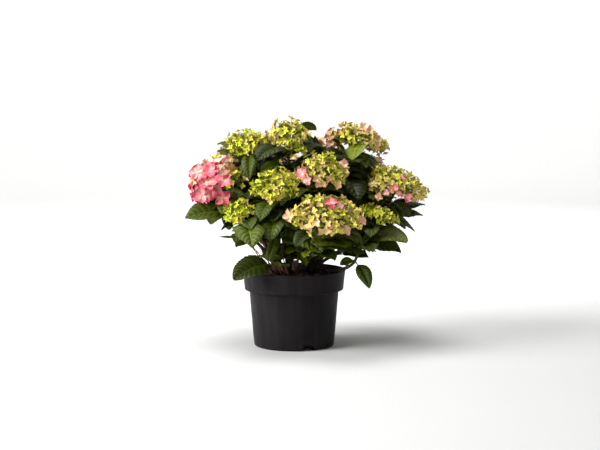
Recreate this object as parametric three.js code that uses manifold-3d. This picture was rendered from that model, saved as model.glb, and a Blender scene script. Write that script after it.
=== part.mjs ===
// A potted mophead hydrangea: a nursery pot, its compost, an old stub with a clump of canes round it,
// a mass of leaves on each cane and a domed flower head at each tip.
// Millimetres. +Z is up, X runs to the right of the front view and Y away from it.
// The origin is the centre of the pot's underside.
import * as THREE from 'three';
import { mergeVertices } from 'three/addons/utils/BufferGeometryUtils.js';
import Module from 'manifold-3d';

const wasm = await Module();
wasm.setup();

const DEGREE = Math.PI / 180;
const GOLDEN_TURN = Math.PI * (3 - Math.sqrt(5));
const GAP = 0.3; // clear space between two solids that rest on each other

// Driving dimensions of the pot

const POT = {
  height: 142,
  rimTopR: 95,
  rimLowR: 92,
  collarHeight: 38,
  collarChamfer: 6,
  lip: 3.5,
  lipOut: 0.8,
  bodyTopR: 83,
  baseR: 74.3,
  corner: 4,
  wall: 1.6,
  floorUnder: 10,
  floor: 2.4,
  footWidth: 6,
  bossR: 14,
  notchTurns: [-69.4, 50.6, 170.6],
  notchLow: 33,
  notchHigh: 16,
  notchTall: 9.6,
  drains: 6,
  drainR: 5,
  drainRing: 46,
  sides: 32,
};
const COLLAR_Z = POT.height - POT.collarHeight;
const SOIL = { edgeZ: POT.height - 10, shoulderR: 77, shoulderUp: 3.2, flatR: 64, topZ: POT.height - 4 };

// Driving dimensions of the plant

const STUB = { radii: [17, 12.5, 11, 10.4, 8.6], tall: 19, lean: [-3, 2], sides: 9 };
const FOOT_RING = { least: 25, spread: 0.13 }; // the canes of lower heads leave the compost further out
const CANE = {
  footR: 3.4,
  tipR: 2.3,
  sides: 5,
  steps: 5,
  splay: 1.15, // how far a cane has spread from the middle at the end of its rise
  rise: 22, // how far it rises steeply, and more on a taller cane
  riseShare: 0.1375,
  pull: 62, // how far below its head it comes into line with the head's axis
  least: 8, // shortest length of bare cane
  below: 7, // it ends this far below its lowest leaf
};
const CROWN = { middle: [25, 0, 250], reach: [226, 214, 178], below: 92 };
const LEAF = {
  open: 62 * DEGREE, // between the stem and the petiole
  petiole: 0.24,
  petioleR: 1.4,
  sections: [0.22, 0.5, 0.8], // where along the blade its solid has a section
  widthShare: 0.66,
  widest: 0.76,
  blunt: 0.85, // below 1 the outline is fuller
  fold: 14 * DEGREE,
  thick: 0.016,
  firstNode: 22, // below the flower head
  internode: 24,
  lowestNode: 22, // above the compost
  sizes: [0.76, 0.95, 1.04, 1.04, 0.98, 0.9, 0.8], // by pair from the top, as shares of the shoot's leaf
  lowering: 0.1, // how much flatter each pair leaves the stem than the one above
  pitches: [-0.35, 0.95], // lowest and highest
  droop: [0.75, 0.6], // least, and how much it varies
  halfSpan: 0.62, // from a blade's middle to its furthest point, as a share of its length
  clear: 7, // between two blades
  stemClear: 7,
  ownClear: 8, // from the leaf's own stem
  headClear: 2,
  potClear: [4, 3], // out from the rim and above it
  posedEase: 0.55,
};
const FLORET = {
  least: 2.5,
  share: [0.19, 0.04], // of its head's half width, and how much that varies
  sunk: 0.2, // how far its rim lies inside the head's outline, as a share of its radius
  counts: [5, 0.12, 0.08], // in a head, and more with its half width and its height
  core: 0.62,
  lobe: 0.5,
  inLobe: 6,
};
const HEAD_BELOW = 0.55; // a flower head's depth below its middle, as a share of its height above it
const NECK = 0.45; // how far below a head's middle its stem ends, as a share of its height
const STALK = 6; // how far below a shoot's end its flower head's stalk begins
const INNER = 0.6; // leaves nearer the middle than this share of the crown are left out of the solids

// One entry for each flowering cane: the middle of its head, the head's half width and half height,
// how far its axis leans out, the turn of its top pair of leaves and the length of its leaves.
const SHOOTS = [
  { name: 'pink_left', head: [-143, -30, 308], wide: 54, tall: 44, lean: 42, turn: 20, leaf: 98 },
  { name: 'upper_left', head: [-90, -20, 377], wide: 38, tall: 29, lean: 24, turn: 75, leaf: 84 },
  { name: 'top_middle', head: [-11, -30, 390], wide: 42, tall: 32, lean: 5, turn: 20, leaf: 92 },
  { name: 'top_right', head: [116, 10, 382], wide: 58, tall: 30, lean: 20, turn: 100, leaf: 96 },
  { name: 'centre', head: [51, -95, 330], wide: 49, tall: 36, lean: 24, turn: 10, leaf: 96 },
  { name: 'mid_left', head: [-39, -110, 307], wide: 46, tall: 34, lean: 28, turn: 40, leaf: 96 },
  { name: 'right', head: [188, -30, 297], wide: 60, tall: 33, lean: 24, turn: 0, leaf: 98 },
  { name: 'low_centre', head: [58, -149, 257], wide: 68, tall: 38, lean: 17, turn: 15, leaf: 102 },
  { name: 'low_left', head: [-102, -112, 259], wide: 34, tall: 19, lean: 30, turn: 30, leaf: 92 },
  { name: 'low_right', head: [155, -90, 249], wide: 38, tall: 17, lean: 22, turn: 50, leaf: 96 },
  { name: 'upper_right', head: [145, 62, 331], wide: 32, tall: 20, lean: 26, turn: 64, leaf: 92 },
  { name: 'top_back', head: [64, 92, 364], wide: 28, tall: 24, lean: 14, turn: 45, leaf: 92 },
  { name: 'back_left', head: [-122, 76, 333], wide: 44, tall: 33, lean: 34, turn: 10, leaf: 96 },
  { name: 'back_middle', head: [-32, 142, 316], wide: 48, tall: 36, lean: 30, turn: 35, leaf: 96 },
  { name: 'back_right', head: [76, 152, 316], wide: 46, tall: 34, lean: 32, turn: 80, leaf: 96 },
  { name: 'low_back_left', head: [-106, 146, 258], wide: 38, tall: 27, lean: 34, turn: 20, leaf: 92 },
  { name: 'low_back_right', head: [158, 124, 262], wide: 40, tall: 27, lean: 32, turn: 55, leaf: 92 },
];

// Where two of the heads have a smaller lobe beside them, from the head's middle.
const LOBES = { upper_left: [-26, 4, 12], top_middle: [14, -12, -25] };

const SMALL_HEAD = 38; // half width of a young head, which is still lime
const HIGHEST_HEAD = Math.max(...SHOOTS.map((shoot) => shoot.head[2]));

// Short shoots with no flower, which carry only leaves: where each leaves the compost, what it bends
// round and where it ends.
const BLIND = [
  { name: 'low_shoot_left', foot: [-20, -52], by: [-26, -56, 158], tip: [-36, -58, 166], turn: 60, leaf: 62 },
  { name: 'low_shoot_front', foot: [6, -52], by: [4, -60, 160], tip: [12, -66, 178], turn: 30, leaf: 44 },
  { name: 'low_shoot_right', foot: [55, -20], by: [110, -66, 154], tip: [120, -92, 202], turn: 10, leaf: 70 },
];

// The leaves that stand out most: the stem each is on, how far below its end, and where its tip hangs.
const POSED = [
  { on: 'low_shoot_left', down: 4, tip: [-108, -100, 148], droop: 34, roll: -20 },
  { on: 'low_shoot_right', down: 42, tip: [132, -104, 114], droop: 34, roll: 8 },
  { on: 'low_shoot_right', down: 2, tip: [30, -142, 206], droop: 26, roll: -24 },
  { on: 'low_shoot_right', down: 16, tip: [138, -156, 192], droop: 40, roll: 6 },
  { on: 'pink_left', down: 56, tip: [-196, -62, 244], droop: 28, roll: -16 },
  { on: 'pink_left', down: 32, tip: [-172, 42, 260], droop: 30, roll: -6 },
  { on: 'low_left', down: 26, tip: [-72, -180, 203], droop: 66, roll: 4 },
  { on: 'mid_left', down: 46, tip: [-40, -152, 212], droop: 50, roll: 12 },
  { on: 'low_centre', down: 78, tip: [-20, -140, 208], droop: 30, roll: -20 },
  { on: 'low_centre', down: 94, tip: [72, -146, 176], droop: 30, roll: 6 },
  { on: 'low_right', down: 46, tip: [202, -122, 206], droop: 36, roll: 22 },
  { on: 'low_right', down: 74, tip: [192, -104, 184], droop: 26, roll: 16 },
  { on: 'low_right', down: 112, tip: [136, -60, 170], droop: 30, roll: 20 },
  { on: 'low_shoot_right', down: 62, tip: [86, -88, 160], droop: 20, roll: -10 },
  { on: 'right', down: 64, tip: [226, -66, 244], droop: 20, roll: 10 },
  { on: 'right', down: 44, tip: [236, 24, 260], droop: 16, roll: 6 },
  { on: 'right', down: 40, tip: [128, -68, 278], droop: 30, roll: -6 },
  { on: 'top_right', down: 8, tip: [92, -62, 340], droop: 56, roll: -6 },
  { on: 'top_right', down: 26, tip: [58, -44, 350], droop: 40, roll: -30 },
  { on: 'upper_right', down: 32, tip: [206, 50, 312], droop: 18, roll: 10 },
  { on: 'upper_left', down: 32, tip: [-143, 26, 360], droop: 16, roll: -6 },
  { on: 'upper_left', down: 50, tip: [-148, 54, 350], droop: 24, roll: -10 },
  { on: 'upper_left', down: 8, tip: [-80, -78, 314], droop: 56, roll: 6 },
  { on: 'top_middle', down: 40, tip: [-60, -66, 326], droop: 34, roll: -16 },
  { on: 'top_back', down: 36, tip: [26, 60, 414], droop: 16, roll: 24 },
  { on: 'top_back', down: 52, tip: [38, 14, 388], droop: 24, roll: 0 },
  { on: 'low_shoot_front', down: 2, tip: [32, -88, 160], droop: 30, roll: 0 },
  { on: 'low_shoot_front', down: 6, tip: [-4, -92, 170], droop: 30, roll: 0 },
];

const COLOURS = {
  pot: [0x2b292a, 0.55],
  soil: [0x3a2418, 0.95],
  stub: [0x6b4a33, 0.9],
  cane: [0x7d6a3c, 0.75],
  leaves: [0x3f5c24, 0.55],
  lime: [0xb9bf45, 0.7],
  cream: [0xd6cd84, 0.7],
  pink: [0xe79a9f, 0.7],
};

// Small vector helpers on plain arrays

const add = (a, b, k = 1) => [a[0] + b[0] * k, a[1] + b[1] * k, a[2] + b[2] * k];
const sub = (a, b) => add(a, b, -1);
const scale = (a, k) => [a[0] * k, a[1] * k, a[2] * k];
const dot = (a, b) => a[0] * b[0] + a[1] * b[1] + a[2] * b[2];
const cross = (a, b) => [a[1] * b[2] - a[2] * b[1], a[2] * b[0] - a[0] * b[2], a[0] * b[1] - a[1] * b[0]];
const size = (a) => Math.hypot(...a);
const unit = (a) => scale(a, 1 / size(a));
const clamp = (x, low, high) => Math.min(high, Math.max(low, x));

// Two unit vectors square to a direction, the first as near to +X as it can be.
function across(direction) {
  const first = unit(add([1, 0, 0], direction, -direction[0]));
  return [first, cross(direction, first)];
}

// A repeatable run of numbers from 0 to 1.
function seeded(seed) {
  let state = seed >>> 0;
  return () => {
    state = (state + 0x6d2b79f5) >>> 0;
    let t = Math.imul(state ^ (state >>> 15), state | 1);
    t ^= t + Math.imul(t ^ (t >>> 7), t | 61);
    return ((t ^ (t >>> 14)) >>> 0) / 4294967296;
  };
}

// The rule of growth

const PATH_STEPS = 48;

// A cubic Bezier curve as a run of points with the distance along it at each.
function pathThrough(a, b, c, d) {
  const points = [];
  const along = [0];
  for (let i = 0; i <= PATH_STEPS; i += 1) {
    const t = i / PATH_STEPS;
    const s = 1 - t;
    const weights = [s * s * s, 3 * s * s * t, 3 * s * t * t, t * t * t];
    const point = [a, b, c, d].reduce((sum, corner, k) => add(sum, corner, weights[k]), [0, 0, 0]);
    points.push(point);
    if (i) along.push(along[i - 1] + size(sub(points[i], points[i - 1])));
  }
  return { points, along, length: along[PATH_STEPS] };
}

// The point and direction at a distance along a path.
function pointAlong(path, distance) {
  let i = 1;
  while (i < PATH_STEPS && path.along[i] < distance) i += 1;
  const run = path.along[i] - path.along[i - 1];
  const share = (distance - path.along[i - 1]) / run;
  const step = sub(path.points[i], path.points[i - 1]);
  return { at: add(path.points[i - 1], step, share), way: unit(step) };
}

// A shoot's head axis and its path, from the compost to the underside of its head.
function grow(shoot, index) {
  const outward = Math.atan2(shoot.head[1], shoot.head[0] - STUB.lean[0]);
  const lean = shoot.lean * DEGREE;
  const axis = [Math.sin(lean) * Math.cos(outward), Math.sin(lean) * Math.sin(outward), Math.cos(lean)];
  const neck = add(shoot.head, axis, -NECK * shoot.tall);
  const ring = FOOT_RING.least + FOOT_RING.spread * (HIGHEST_HEAD - shoot.head[2]);
  const foot = [ring * Math.cos(outward), ring * Math.sin(outward), SOIL.topZ + GAP];
  const risen = CANE.rise + CANE.riseShare * (neck[2] - foot[2]);
  const rise = [foot[0] * CANE.splay, foot[1] * CANE.splay, foot[2] + risen];
  const path = pathThrough(foot, rise, add(neck, axis, -CANE.pull), neck);
  return { ...shoot, index, axis, path };
}

function growBlind(shoot, index) {
  const foot = [...shoot.foot, SOIL.topZ + GAP];
  return { ...shoot, index: SHOOTS.length + index, path: pathThrough(foot, shoot.by, shoot.by, shoot.tip) };
}

// The half width of a leaf at a share of its blade's length, as a share of its widest.
function leafOutline(share) {
  return Math.sin(Math.PI * clamp(share, 0, 1) ** LEAF.widest) ** LEAF.blunt;
}

const SPINE_STEPS = 12;

// A leaf's spine: its petiole leaves a stem, and its blade then droops evenly towards the tip.
function leafSpine(leaf) {
  const points = [];
  let at = add(leaf.from, pointing(leaf.heading, leaf.pitch), leaf.long * LEAF.petiole);
  for (let i = 0; i <= SPINE_STEPS; i += 1) {
    const pitch = leaf.pitch - (leaf.droop * (i - 0.5)) / SPINE_STEPS;
    if (i) at = add(at, pointing(leaf.heading, pitch), leaf.long / SPINE_STEPS);
    points.push({ at, pitch: leaf.pitch - (leaf.droop * i) / SPINE_STEPS });
  }
  return points;
}

function pointing(heading, pitch) {
  return [Math.cos(heading) * Math.cos(pitch), Math.sin(heading) * Math.cos(pitch), Math.sin(pitch)];
}

// A point of a leaf's blade: up its spine from 0 to 1, and from -1 to 1 across.
function leafPoint(leaf, spine, up, sideways) {
  const place = clamp(up, 0, 1) * SPINE_STEPS;
  const i = Math.min(SPINE_STEPS - 1, Math.floor(place));
  const at = add(spine[i].at, sub(spine[i + 1].at, spine[i].at), place - i);
  const pitch = spine[i].pitch + (spine[i + 1].pitch - spine[i].pitch) * (place - i);
  const level = [-Math.sin(leaf.heading), Math.cos(leaf.heading), 0];
  const above = cross(pointing(leaf.heading, pitch), level);
  const side = add(scale(level, Math.cos(leaf.roll)), above, Math.sin(leaf.roll));
  const top = add(scale(above, Math.cos(leaf.roll)), level, -Math.sin(leaf.roll));
  const half = sideways * 0.5 * leaf.long * LEAF.widthShare * leafOutline(up);
  return add(add(at, side, half * Math.cos(LEAF.fold)), top, Math.abs(half) * Math.sin(LEAF.fold));
}

const MIDDLE_SAMPLE = 38;

// The points that stand for a blade when two leaves are kept apart.
function leafSamples(leaf) {
  const spine = leafSpine(leaf);
  const found = [];
  for (let i = 1; i <= 11; i += 1) {
    for (let j = -3; j <= 3; j += 1) found.push(leafPoint(leaf, spine, i / 11.5, j / 3));
  }
  return found;
}

// True where a point lies in a flower head, which is flatter below, with a margin round it.
function inHead(point, shoot, margin) {
  if (!shoot.head) return false;
  const away = sub(point, shoot.head);
  const rise = dot(away, shoot.axis);
  const tall = shoot.tall * (rise < 0 ? HEAD_BELOW : 1) + margin;
  const wide = shoot.wide + margin;
  return (dot(away, away) - rise * rise) / (wide * wide) + (rise * rise) / (tall * tall) < 1;
}

// How far out of the crown's middle a point is, as a share of the crown's reach.
function crownShare(point) {
  const away = sub(point, CROWN.middle);
  const tall = away[2] > 0 ? CROWN.reach[2] : CROWN.below;
  return Math.hypot(away[0] / CROWN.reach[0], away[1] / CROWN.reach[1], away[2] / tall);
}

// True where a point is in the pot or its compost, or too near them.
function nearPot(point) {
  const [out, up] = LEAF.potClear;
  return Math.hypot(point[0], point[1]) < POT.rimTopR + out && point[2] < POT.height + up;
}

// A leaf fits where its blade is inside the crown and clear of heads, stems, the pot and other blades.
// A posed leaf may leave the crown and come closer to the rest.
function leafFits(samples, shoots, placed, { shoot: own, posed }) {
  const near = (a, b, gap) => (a[0] - b[0]) ** 2 + (a[1] - b[1]) ** 2 + (a[2] - b[2]) ** 2 < gap * gap;
  const ease = posed ? LEAF.posedEase : 1;
  const middle = samples[MIDDLE_SAMPLE];
  const reach = LEAF.halfSpan * samples.long + LEAF.stemClear;
  if (samples.some((p) => nearPot(p) || (!posed && crownShare(p) > 1))) return false;
  for (const shoot of shoots) {
    if (samples.some((p) => inHead(p, shoot, ease * LEAF.headClear))) return false;
    const gap = ease * (shoot.index === own ? LEAF.ownClear : LEAF.stemClear);
    for (let i = 0; i <= PATH_STEPS; i += 2) {
      const q = shoot.path.points[i];
      if (near(q, middle, reach) && samples.some((p) => near(p, q, gap))) return false;
    }
  }
  for (const other of placed) {
    const together = LEAF.halfSpan * (samples.long + other.samples.long) + LEAF.clear;
    if (!near(middle, other.samples[MIDDLE_SAMPLE], together)) continue;
    if (samples.some((p) => other.samples.some((q) => near(p, q, ease * LEAF.clear)))) return false;
  }
  return true;
}

// A leaf that doesn't fit tries smaller sizes, other tilts and other turns about its stem.
const TRIED = {
  shares: [1, 0.8, 0.62],
  tilts: [0, 14, -14, 28, -28],
  turns: [0, 10, -10, 22, -22, 40, -40, 60, -60],
};

function placeLeaf(leaf, shoots, placed) {
  for (const share of TRIED.shares) {
    for (const tilt of TRIED.tilts) {
      for (const turn of TRIED.turns) {
        const tried = {
          ...leaf,
          heading: leaf.heading + turn * DEGREE,
          pitch: leaf.pitch + tilt * DEGREE,
          long: leaf.long * share,
        };
        const samples = leafSamples(tried);
        samples.long = tried.long;
        if (leafFits(samples, shoots, placed, tried)) {
          placed.push({ ...tried, samples });
          return;
        }
      }
    }
  }
}

// A posed leaf, with the length and pitch that bring its tip to its place.
function poseLeaf({ on, down, tip, droop, roll }, shoots) {
  const shoot = shoots.find(({ name }) => name === on);
  const distance = shoot.path.length - down;
  const from = pointAlong(shoot.path, distance).at;
  const half = (droop * DEGREE) / 2;
  const blade = Math.sin(half) / half;
  const reach = [blade + LEAF.petiole * Math.cos(half), LEAF.petiole * Math.sin(half)];
  const way = sub(tip, from);
  const pitch = Math.asin(way[2] / size(way)) + half - Math.atan2(reach[1], reach[0]);
  const heading = Math.atan2(way[1], way[0]);
  const long = size(way) / Math.hypot(...reach);
  const bend = { droop: droop * DEGREE, roll: roll * DEGREE };
  return { shoot: shoot.index, from, distance, heading, pitch, ...bend, long, posed: true };
}

// The posed leaves, then pairs of leaves down each shoot, each pair square to the one above it.
function growLeaves(shoots) {
  const placed = [];
  for (const pose of POSED) placeLeaf(poseLeaf(pose, shoots), shoots, placed);
  for (const shoot of shoots) {
    const random = seeded(101 + 17 * shoot.index);
    let distance = shoot.path.length - (shoot.head ? LEAF.firstNode : 0);
    for (let pair = 0; distance > LEAF.lowestNode; pair += 1) {
      const { at, way } = pointAlong(shoot.path, distance);
      const [u, v] = across(way);
      for (const half of [0, 1]) {
        const turn = shoot.turn * DEGREE + (pair * Math.PI) / 2 + half * Math.PI + (random() - 0.5) * 0.35;
        const out = add(scale(u, Math.cos(turn)), v, Math.sin(turn));
        const leaving = add(scale(way, Math.cos(LEAF.open)), out, Math.sin(LEAF.open));
        const leaf = {
          shoot: shoot.index,
          from: at,
          distance,
          heading: Math.atan2(leaving[1], leaving[0]),
          pitch: clamp(Math.asin(leaving[2]) - pair * LEAF.lowering, ...LEAF.pitches),
          droop: LEAF.droop[0] + LEAF.droop[1] * random(),
          roll: (random() - 0.5) * 0.5,
          long: shoot.leaf * LEAF.sizes[Math.min(pair, LEAF.sizes.length - 1)] * (0.9 + 0.2 * random()),
        };
        placeLeaf(leaf, shoots, placed);
      }
      distance -= LEAF.internode * (0.85 + 0.3 * random());
    }
  }
  return placed;
}

// Solids

function solidOf(geometry) {
  const bare = geometry.clone();
  bare.deleteAttribute('normal');
  bare.deleteAttribute('uv');
  const merged = mergeVertices(bare, 1e-4);
  return solidFrom(merged.getAttribute('position').array, merged.index.array);
}

function solidFrom(positions, faces) {
  const mesh = new wasm.Mesh({
    numProp: 3,
    vertProperties: new Float32Array(positions),
    triVerts: new Uint32Array(faces),
  });
  const made = new wasm.Manifold(mesh);
  if (made.volume() > 0) return made;
  const turned = [];
  for (let i = 0; i < faces.length; i += 3) turned.push(faces[i], faces[i + 2], faces[i + 1]);
  return solidFrom(positions, turned);
}

// The largest closed body of several solids joined, with sealed hollows filled and loose scraps dropped.
function fuse(solids) {
  const bodies = solids.slice(1).reduce((joined, next) => joined.add(next), solids[0]).decompose();
  return bodies.reduce((best, body) => (body.volume() > best.volume() ? body : best));
}

// A limb: a cylinder bent along a run of places, with its radius at each.
function limb(places, radii, sides) {
  const tube = new THREE.CylinderGeometry(1, 1, 1, sides, places.length - 1);
  const position = tube.getAttribute('position');
  for (let i = 0; i < position.count; i += 1) {
    const step = Math.round((position.getY(i) + 0.5) * (places.length - 1));
    const { at, way } = places[step];
    const [u, v] = across(way);
    const point = add(add(at, u, position.getX(i) * radii[step]), v, position.getZ(i) * radii[step]);
    position.setXYZ(i, ...point);
  }
  return solidOf(tube);
}

// A stretch of a shoot's stem, which tapers evenly from a level cut on the compost to the head.
function stretch(shoot, from, to, steps) {
  const places = [];
  const radii = [];
  for (let i = 0; i <= steps; i += 1) {
    const distance = from + ((to - from) * i) / steps;
    const place = pointAlong(shoot.path, distance);
    places.push(distance > 0 ? place : { at: place.at, way: [0, 0, 1] });
    radii.push(CANE.footR + (CANE.tipR - CANE.footR) * (distance / shoot.path.length));
  }
  return limb(places, radii, CANE.sides);
}

// A leaf: a thin petiole that widens into a blade folded along its midrib, as a run of four-sided
// sections that closes to a point at the tip.
function leafSolid(leaf) {
  const spine = leafSpine(leaf);
  const thick = leaf.long * LEAF.thick;
  const level = [-Math.sin(leaf.heading), Math.cos(leaf.heading), 0];
  const above = cross(pointing(leaf.heading, leaf.pitch), level);
  const points = [];
  for (const at of [leaf.from, spine[0].at]) {
    for (const [side, rise] of [[-1, 0], [0, 1], [1, 0], [0, -1]]) {
      points.push(add(add(at, level, side * LEAF.petioleR), above, rise * LEAF.petioleR));
    }
  }
  for (const up of LEAF.sections) {
    const left = leafPoint(leaf, spine, up, -1);
    const right = leafPoint(leaf, spine, up, 1);
    const middle = leafPoint(leaf, spine, up, 0);
    const face = unit(cross(sub(left, right), pointing(leaf.heading, leaf.pitch - leaf.droop * up)));
    const top = face[2] > 0 ? 1 : -1;
    points.push(left, add(middle, face, 0.3 * top * thick), right, add(middle, face, -0.7 * top * thick));
  }
  const tip = points.length;
  points.push(leafPoint(leaf, spine, 1, 0));
  const faces = [0, 2, 1, 0, 3, 2];
  for (let i = 0; i < tip; i += 4) {
    for (let side = 0; side < 4; side += 1) {
      const [a, b] = [i + side, i + ((side + 1) % 4)];
      if (i + 4 === tip) faces.push(a, b, tip);
      else faces.push(a, b, b + 4, a, b + 4, a + 4);
    }
  }
  return solidFrom(points.flat(), faces);
}

function potRadius(z) {
  if (z >= COLLAR_Z + POT.collarChamfer) {
    const share = (z - COLLAR_Z - POT.collarChamfer) / (POT.collarHeight - POT.collarChamfer);
    return POT.rimLowR + (POT.rimTopR - POT.rimLowR) * share;
  }
  return POT.baseR + (POT.bodyTopR - POT.baseR) * (z / COLLAR_Z);
}

function lathe(outline, sides) {
  const turned = new THREE.LatheGeometry(
    outline.map(([r, z]) => new THREE.Vector2(r, z)),
    sides,
  );
  return solidOf(turned.rotateX(Math.PI / 2));
}

function potSolid() {
  const p = POT;
  const footIn = p.baseR - p.footWidth;
  const floorTop = p.floorUnder + p.floor;
  const shoulder = COLLAR_Z + p.collarChamfer;
  const outline = [
    [0, 0],
    [p.bossR, 0],
    [p.bossR + 2, p.floorUnder],
    [footIn - 1, p.floorUnder],
    [footIn, 0],
    [p.baseR - p.corner, 0],
    [p.baseR - 0.3 * p.corner, 0.25 * p.corner],
    [p.baseR, p.corner],
    [p.bodyTopR, COLLAR_Z],
    [p.rimLowR - 0.45 * p.collarChamfer, COLLAR_Z + 0.15 * p.collarChamfer],
    [p.rimLowR - 0.12 * p.collarChamfer, COLLAR_Z + 0.5 * p.collarChamfer],
    [p.rimLowR, shoulder],
    [p.rimTopR, p.height - p.lip],
    [p.rimTopR + p.lipOut, p.height - 0.8 * p.lip],
    [p.rimTopR + p.lipOut, p.height - 0.25 * p.lip],
    [p.rimTopR, p.height],
    [p.rimTopR - p.wall, p.height],
    [p.rimLowR - p.wall, shoulder],
    [p.bodyTopR - p.wall, COLLAR_Z],
    [potRadius(floorTop) - p.wall, floorTop],
    [0, floorTop],
  ];
  let pot = lathe(outline, p.sides);
  for (const turn of p.notchTurns) pot = pot.subtract(notchSolid(turn * DEGREE));
  for (let i = 0; i < p.drains; i += 1) {
    const turn = (i / p.drains) * 2 * Math.PI;
    const drain = new THREE.CylinderGeometry(p.drainR, p.drainR, 4 * p.floor, 8);
    drain.rotateX(Math.PI / 2);
    drain.translate(p.drainRing * Math.cos(turn), p.drainRing * Math.sin(turn), p.floorUnder + p.floor / 2);
    pot = pot.subtract(solidOf(drain));
  }
  return pot;
}

// The wedge that a notch in the foot ring takes out, wider at the ground.
function notchSolid(turn) {
  const low = POT.notchLow / 2;
  const high = POT.notchHigh / 2;
  const face = new THREE.Shape([
    new THREE.Vector2(-low - 1.5, -2),
    new THREE.Vector2(low + 1.5, -2),
    new THREE.Vector2(high, POT.notchTall),
    new THREE.Vector2(-high, POT.notchTall),
  ]);
  const block = new THREE.ExtrudeGeometry(face, { depth: 3 * POT.footWidth, bevelEnabled: false });
  block.rotateX(Math.PI / 2);
  block.rotateZ(Math.PI / 2);
  block.translate(POT.baseR - 1.6 * POT.footWidth, 0, 0);
  block.rotateZ(turn);
  return solidOf(block);
}

function soilSolid() {
  const low = POT.floorUnder + POT.floor + GAP;
  const inside = (z) => potRadius(z) - POT.wall - GAP;
  const shoulder = COLLAR_Z + POT.collarChamfer;
  const outline = [
    [0, low],
    [inside(low), low],
    [inside(COLLAR_Z - 1), COLLAR_Z - 1],
    [POT.bodyTopR - POT.wall - GAP, COLLAR_Z + 0.5],
    [inside(shoulder) - 0.4, shoulder + 0.6],
    [inside(SOIL.edgeZ), SOIL.edgeZ],
    [SOIL.shoulderR, SOIL.edgeZ + SOIL.shoulderUp],
    [SOIL.flatR, SOIL.topZ],
    [0, SOIL.topZ],
  ];
  return lathe(outline, POT.sides);
}

// The old sawn stub in the middle of the clump: flared at the compost, tapering and leaning a little.
function stubSolid() {
  const places = STUB.radii.map((_, i) => {
    const share = i / (STUB.radii.length - 1);
    const at = [STUB.lean[0] * share, STUB.lean[1] * share, SOIL.topZ + GAP + STUB.tall * share];
    return { at, way: [0, 0, 1] };
  });
  return limb(places, STUB.radii, STUB.sides);
}

// Where a cane ends and its mass of leaves begins: just below its lowest leaf in the solids.
function caneEnd(shoot) {
  const lowest = Math.min(...shoot.leaves.map((leaf) => leaf.distance), shoot.path.length - LEAF.firstNode);
  return Math.max(CANE.least, lowest - CANE.below);
}

// A floret: four pointed sepals round a sunken middle, on a point that is sunk in the head.
function floretSolid(at, way, radius, turn) {
  const [u, v] = across(way);
  const points = [add(at, way, -0.42 * radius), add(at, way, -1.9 * radius)];
  const faces = [];
  for (let i = 0; i < 4; i += 1) {
    const angle = turn + (i * Math.PI) / 2;
    const tip = add(add(at, u, Math.cos(angle) * radius), v, Math.sin(angle) * radius);
    points.push(add(tip, way, i % 2 ? 0.1 * radius : 0.3 * radius));
    const next = 2 + ((i + 1) % 4);
    faces.push(0, 2 + i, next, 1, next, 2 + i);
  }
  return solidFrom(points.flat(), faces);
}

// Florets spread by the golden angle over a dome about a middle.
function domeFlorets(middle, axis, wide, tall, count, random) {
  const [u, v] = across(axis);
  const span = 1.28; // from the top of a unit sphere to below its equator
  const solids = [];
  for (let i = 0; i < count; i += 1) {
    const height = 1 - ((i + 0.5) / count) * span;
    const flat = Math.sqrt(1 - height * height);
    const turn = i * GOLDEN_TURN + random() * 0.5;
    const rise = height < 0 ? height * 0.8 : height;
    const aim = add(add(scale(u, flat * Math.cos(turn)), v, flat * Math.sin(turn)), axis, rise);
    const radius = FLORET.least + wide * (FLORET.share[0] + FLORET.share[1] * random());
    const [reach, top] = [wide - FLORET.sunk * radius, tall - FLORET.sunk * radius];
    const onDome = add(add(scale(u, dot(aim, u) * reach), v, dot(aim, v) * reach), axis, rise * top);
    const shake = 0.95 + 0.05 * random();
    solids.push(floretSolid(add(middle, onDome, shake), unit(aim), radius, random() * Math.PI));
  }
  return solids;
}

// The dome that a head's florets stand on, flatter below.
function domeCore(middle, axis, wide, tall, detail) {
  const [u, v] = across(axis);
  const core = new THREE.IcosahedronGeometry(1, detail);
  const position = core.getAttribute('position');
  for (let i = 0; i < position.count; i += 1) {
    const [x, y, z] = [position.getX(i), position.getY(i), position.getZ(i)];
    const rise = (z < 0 ? z * HEAD_BELOW : z) * FLORET.core * tall;
    const point = add(add(add(middle, u, x * FLORET.core * wide), v, y * FLORET.core * wide), axis, rise);
    position.setXYZ(i, ...point);
  }
  return solidOf(core);
}

// A flower head: a stalk, a dome and its florets, and on some a smaller lobe beside it.
function headSolid(shoot) {
  const { head, axis, wide, tall } = shoot;
  const lobe = LOBES[shoot.name];
  const random = seeded(907 + 31 * shoot.index);
  const from = pointAlong(shoot.path, shoot.path.length - STALK);
  const count = Math.round(FLORET.counts[0] + FLORET.counts[1] * wide + FLORET.counts[2] * tall);
  const solids = [limb([from, { at: head, way: axis }], [CANE.tipR, CANE.tipR], CANE.sides)];
  solids.push(domeCore(head, axis, wide, tall, wide > SMALL_HEAD ? 1 : 0));
  solids.push(...domeFlorets(head, axis, wide, tall, count, random));
  if (lobe) {
    const middle = add(head, lobe);
    const [small, low] = [FLORET.lobe * wide, FLORET.lobe * tall];
    solids.push(domeCore(middle, axis, small, low, 0));
    solids.push(...domeFlorets(middle, axis, small, low, FLORET.inLobe, random));
  }
  return fuse(solids);
}

// The assembly

const plant = new THREE.Group();

function show(name, solid, [colour, roughness]) {
  const mesh = solid.getMesh();
  const geometry = new THREE.BufferGeometry();
  geometry.setAttribute('position', new THREE.BufferAttribute(mesh.vertProperties, mesh.numProp));
  geometry.setIndex(new THREE.BufferAttribute(mesh.triVerts, 1));
  const finish = new THREE.MeshStandardMaterial({ color: colour, roughness, metalness: 0 });
  const node = new THREE.Mesh(geometry, finish);
  node.name = name;
  plant.add(node);
}

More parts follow.
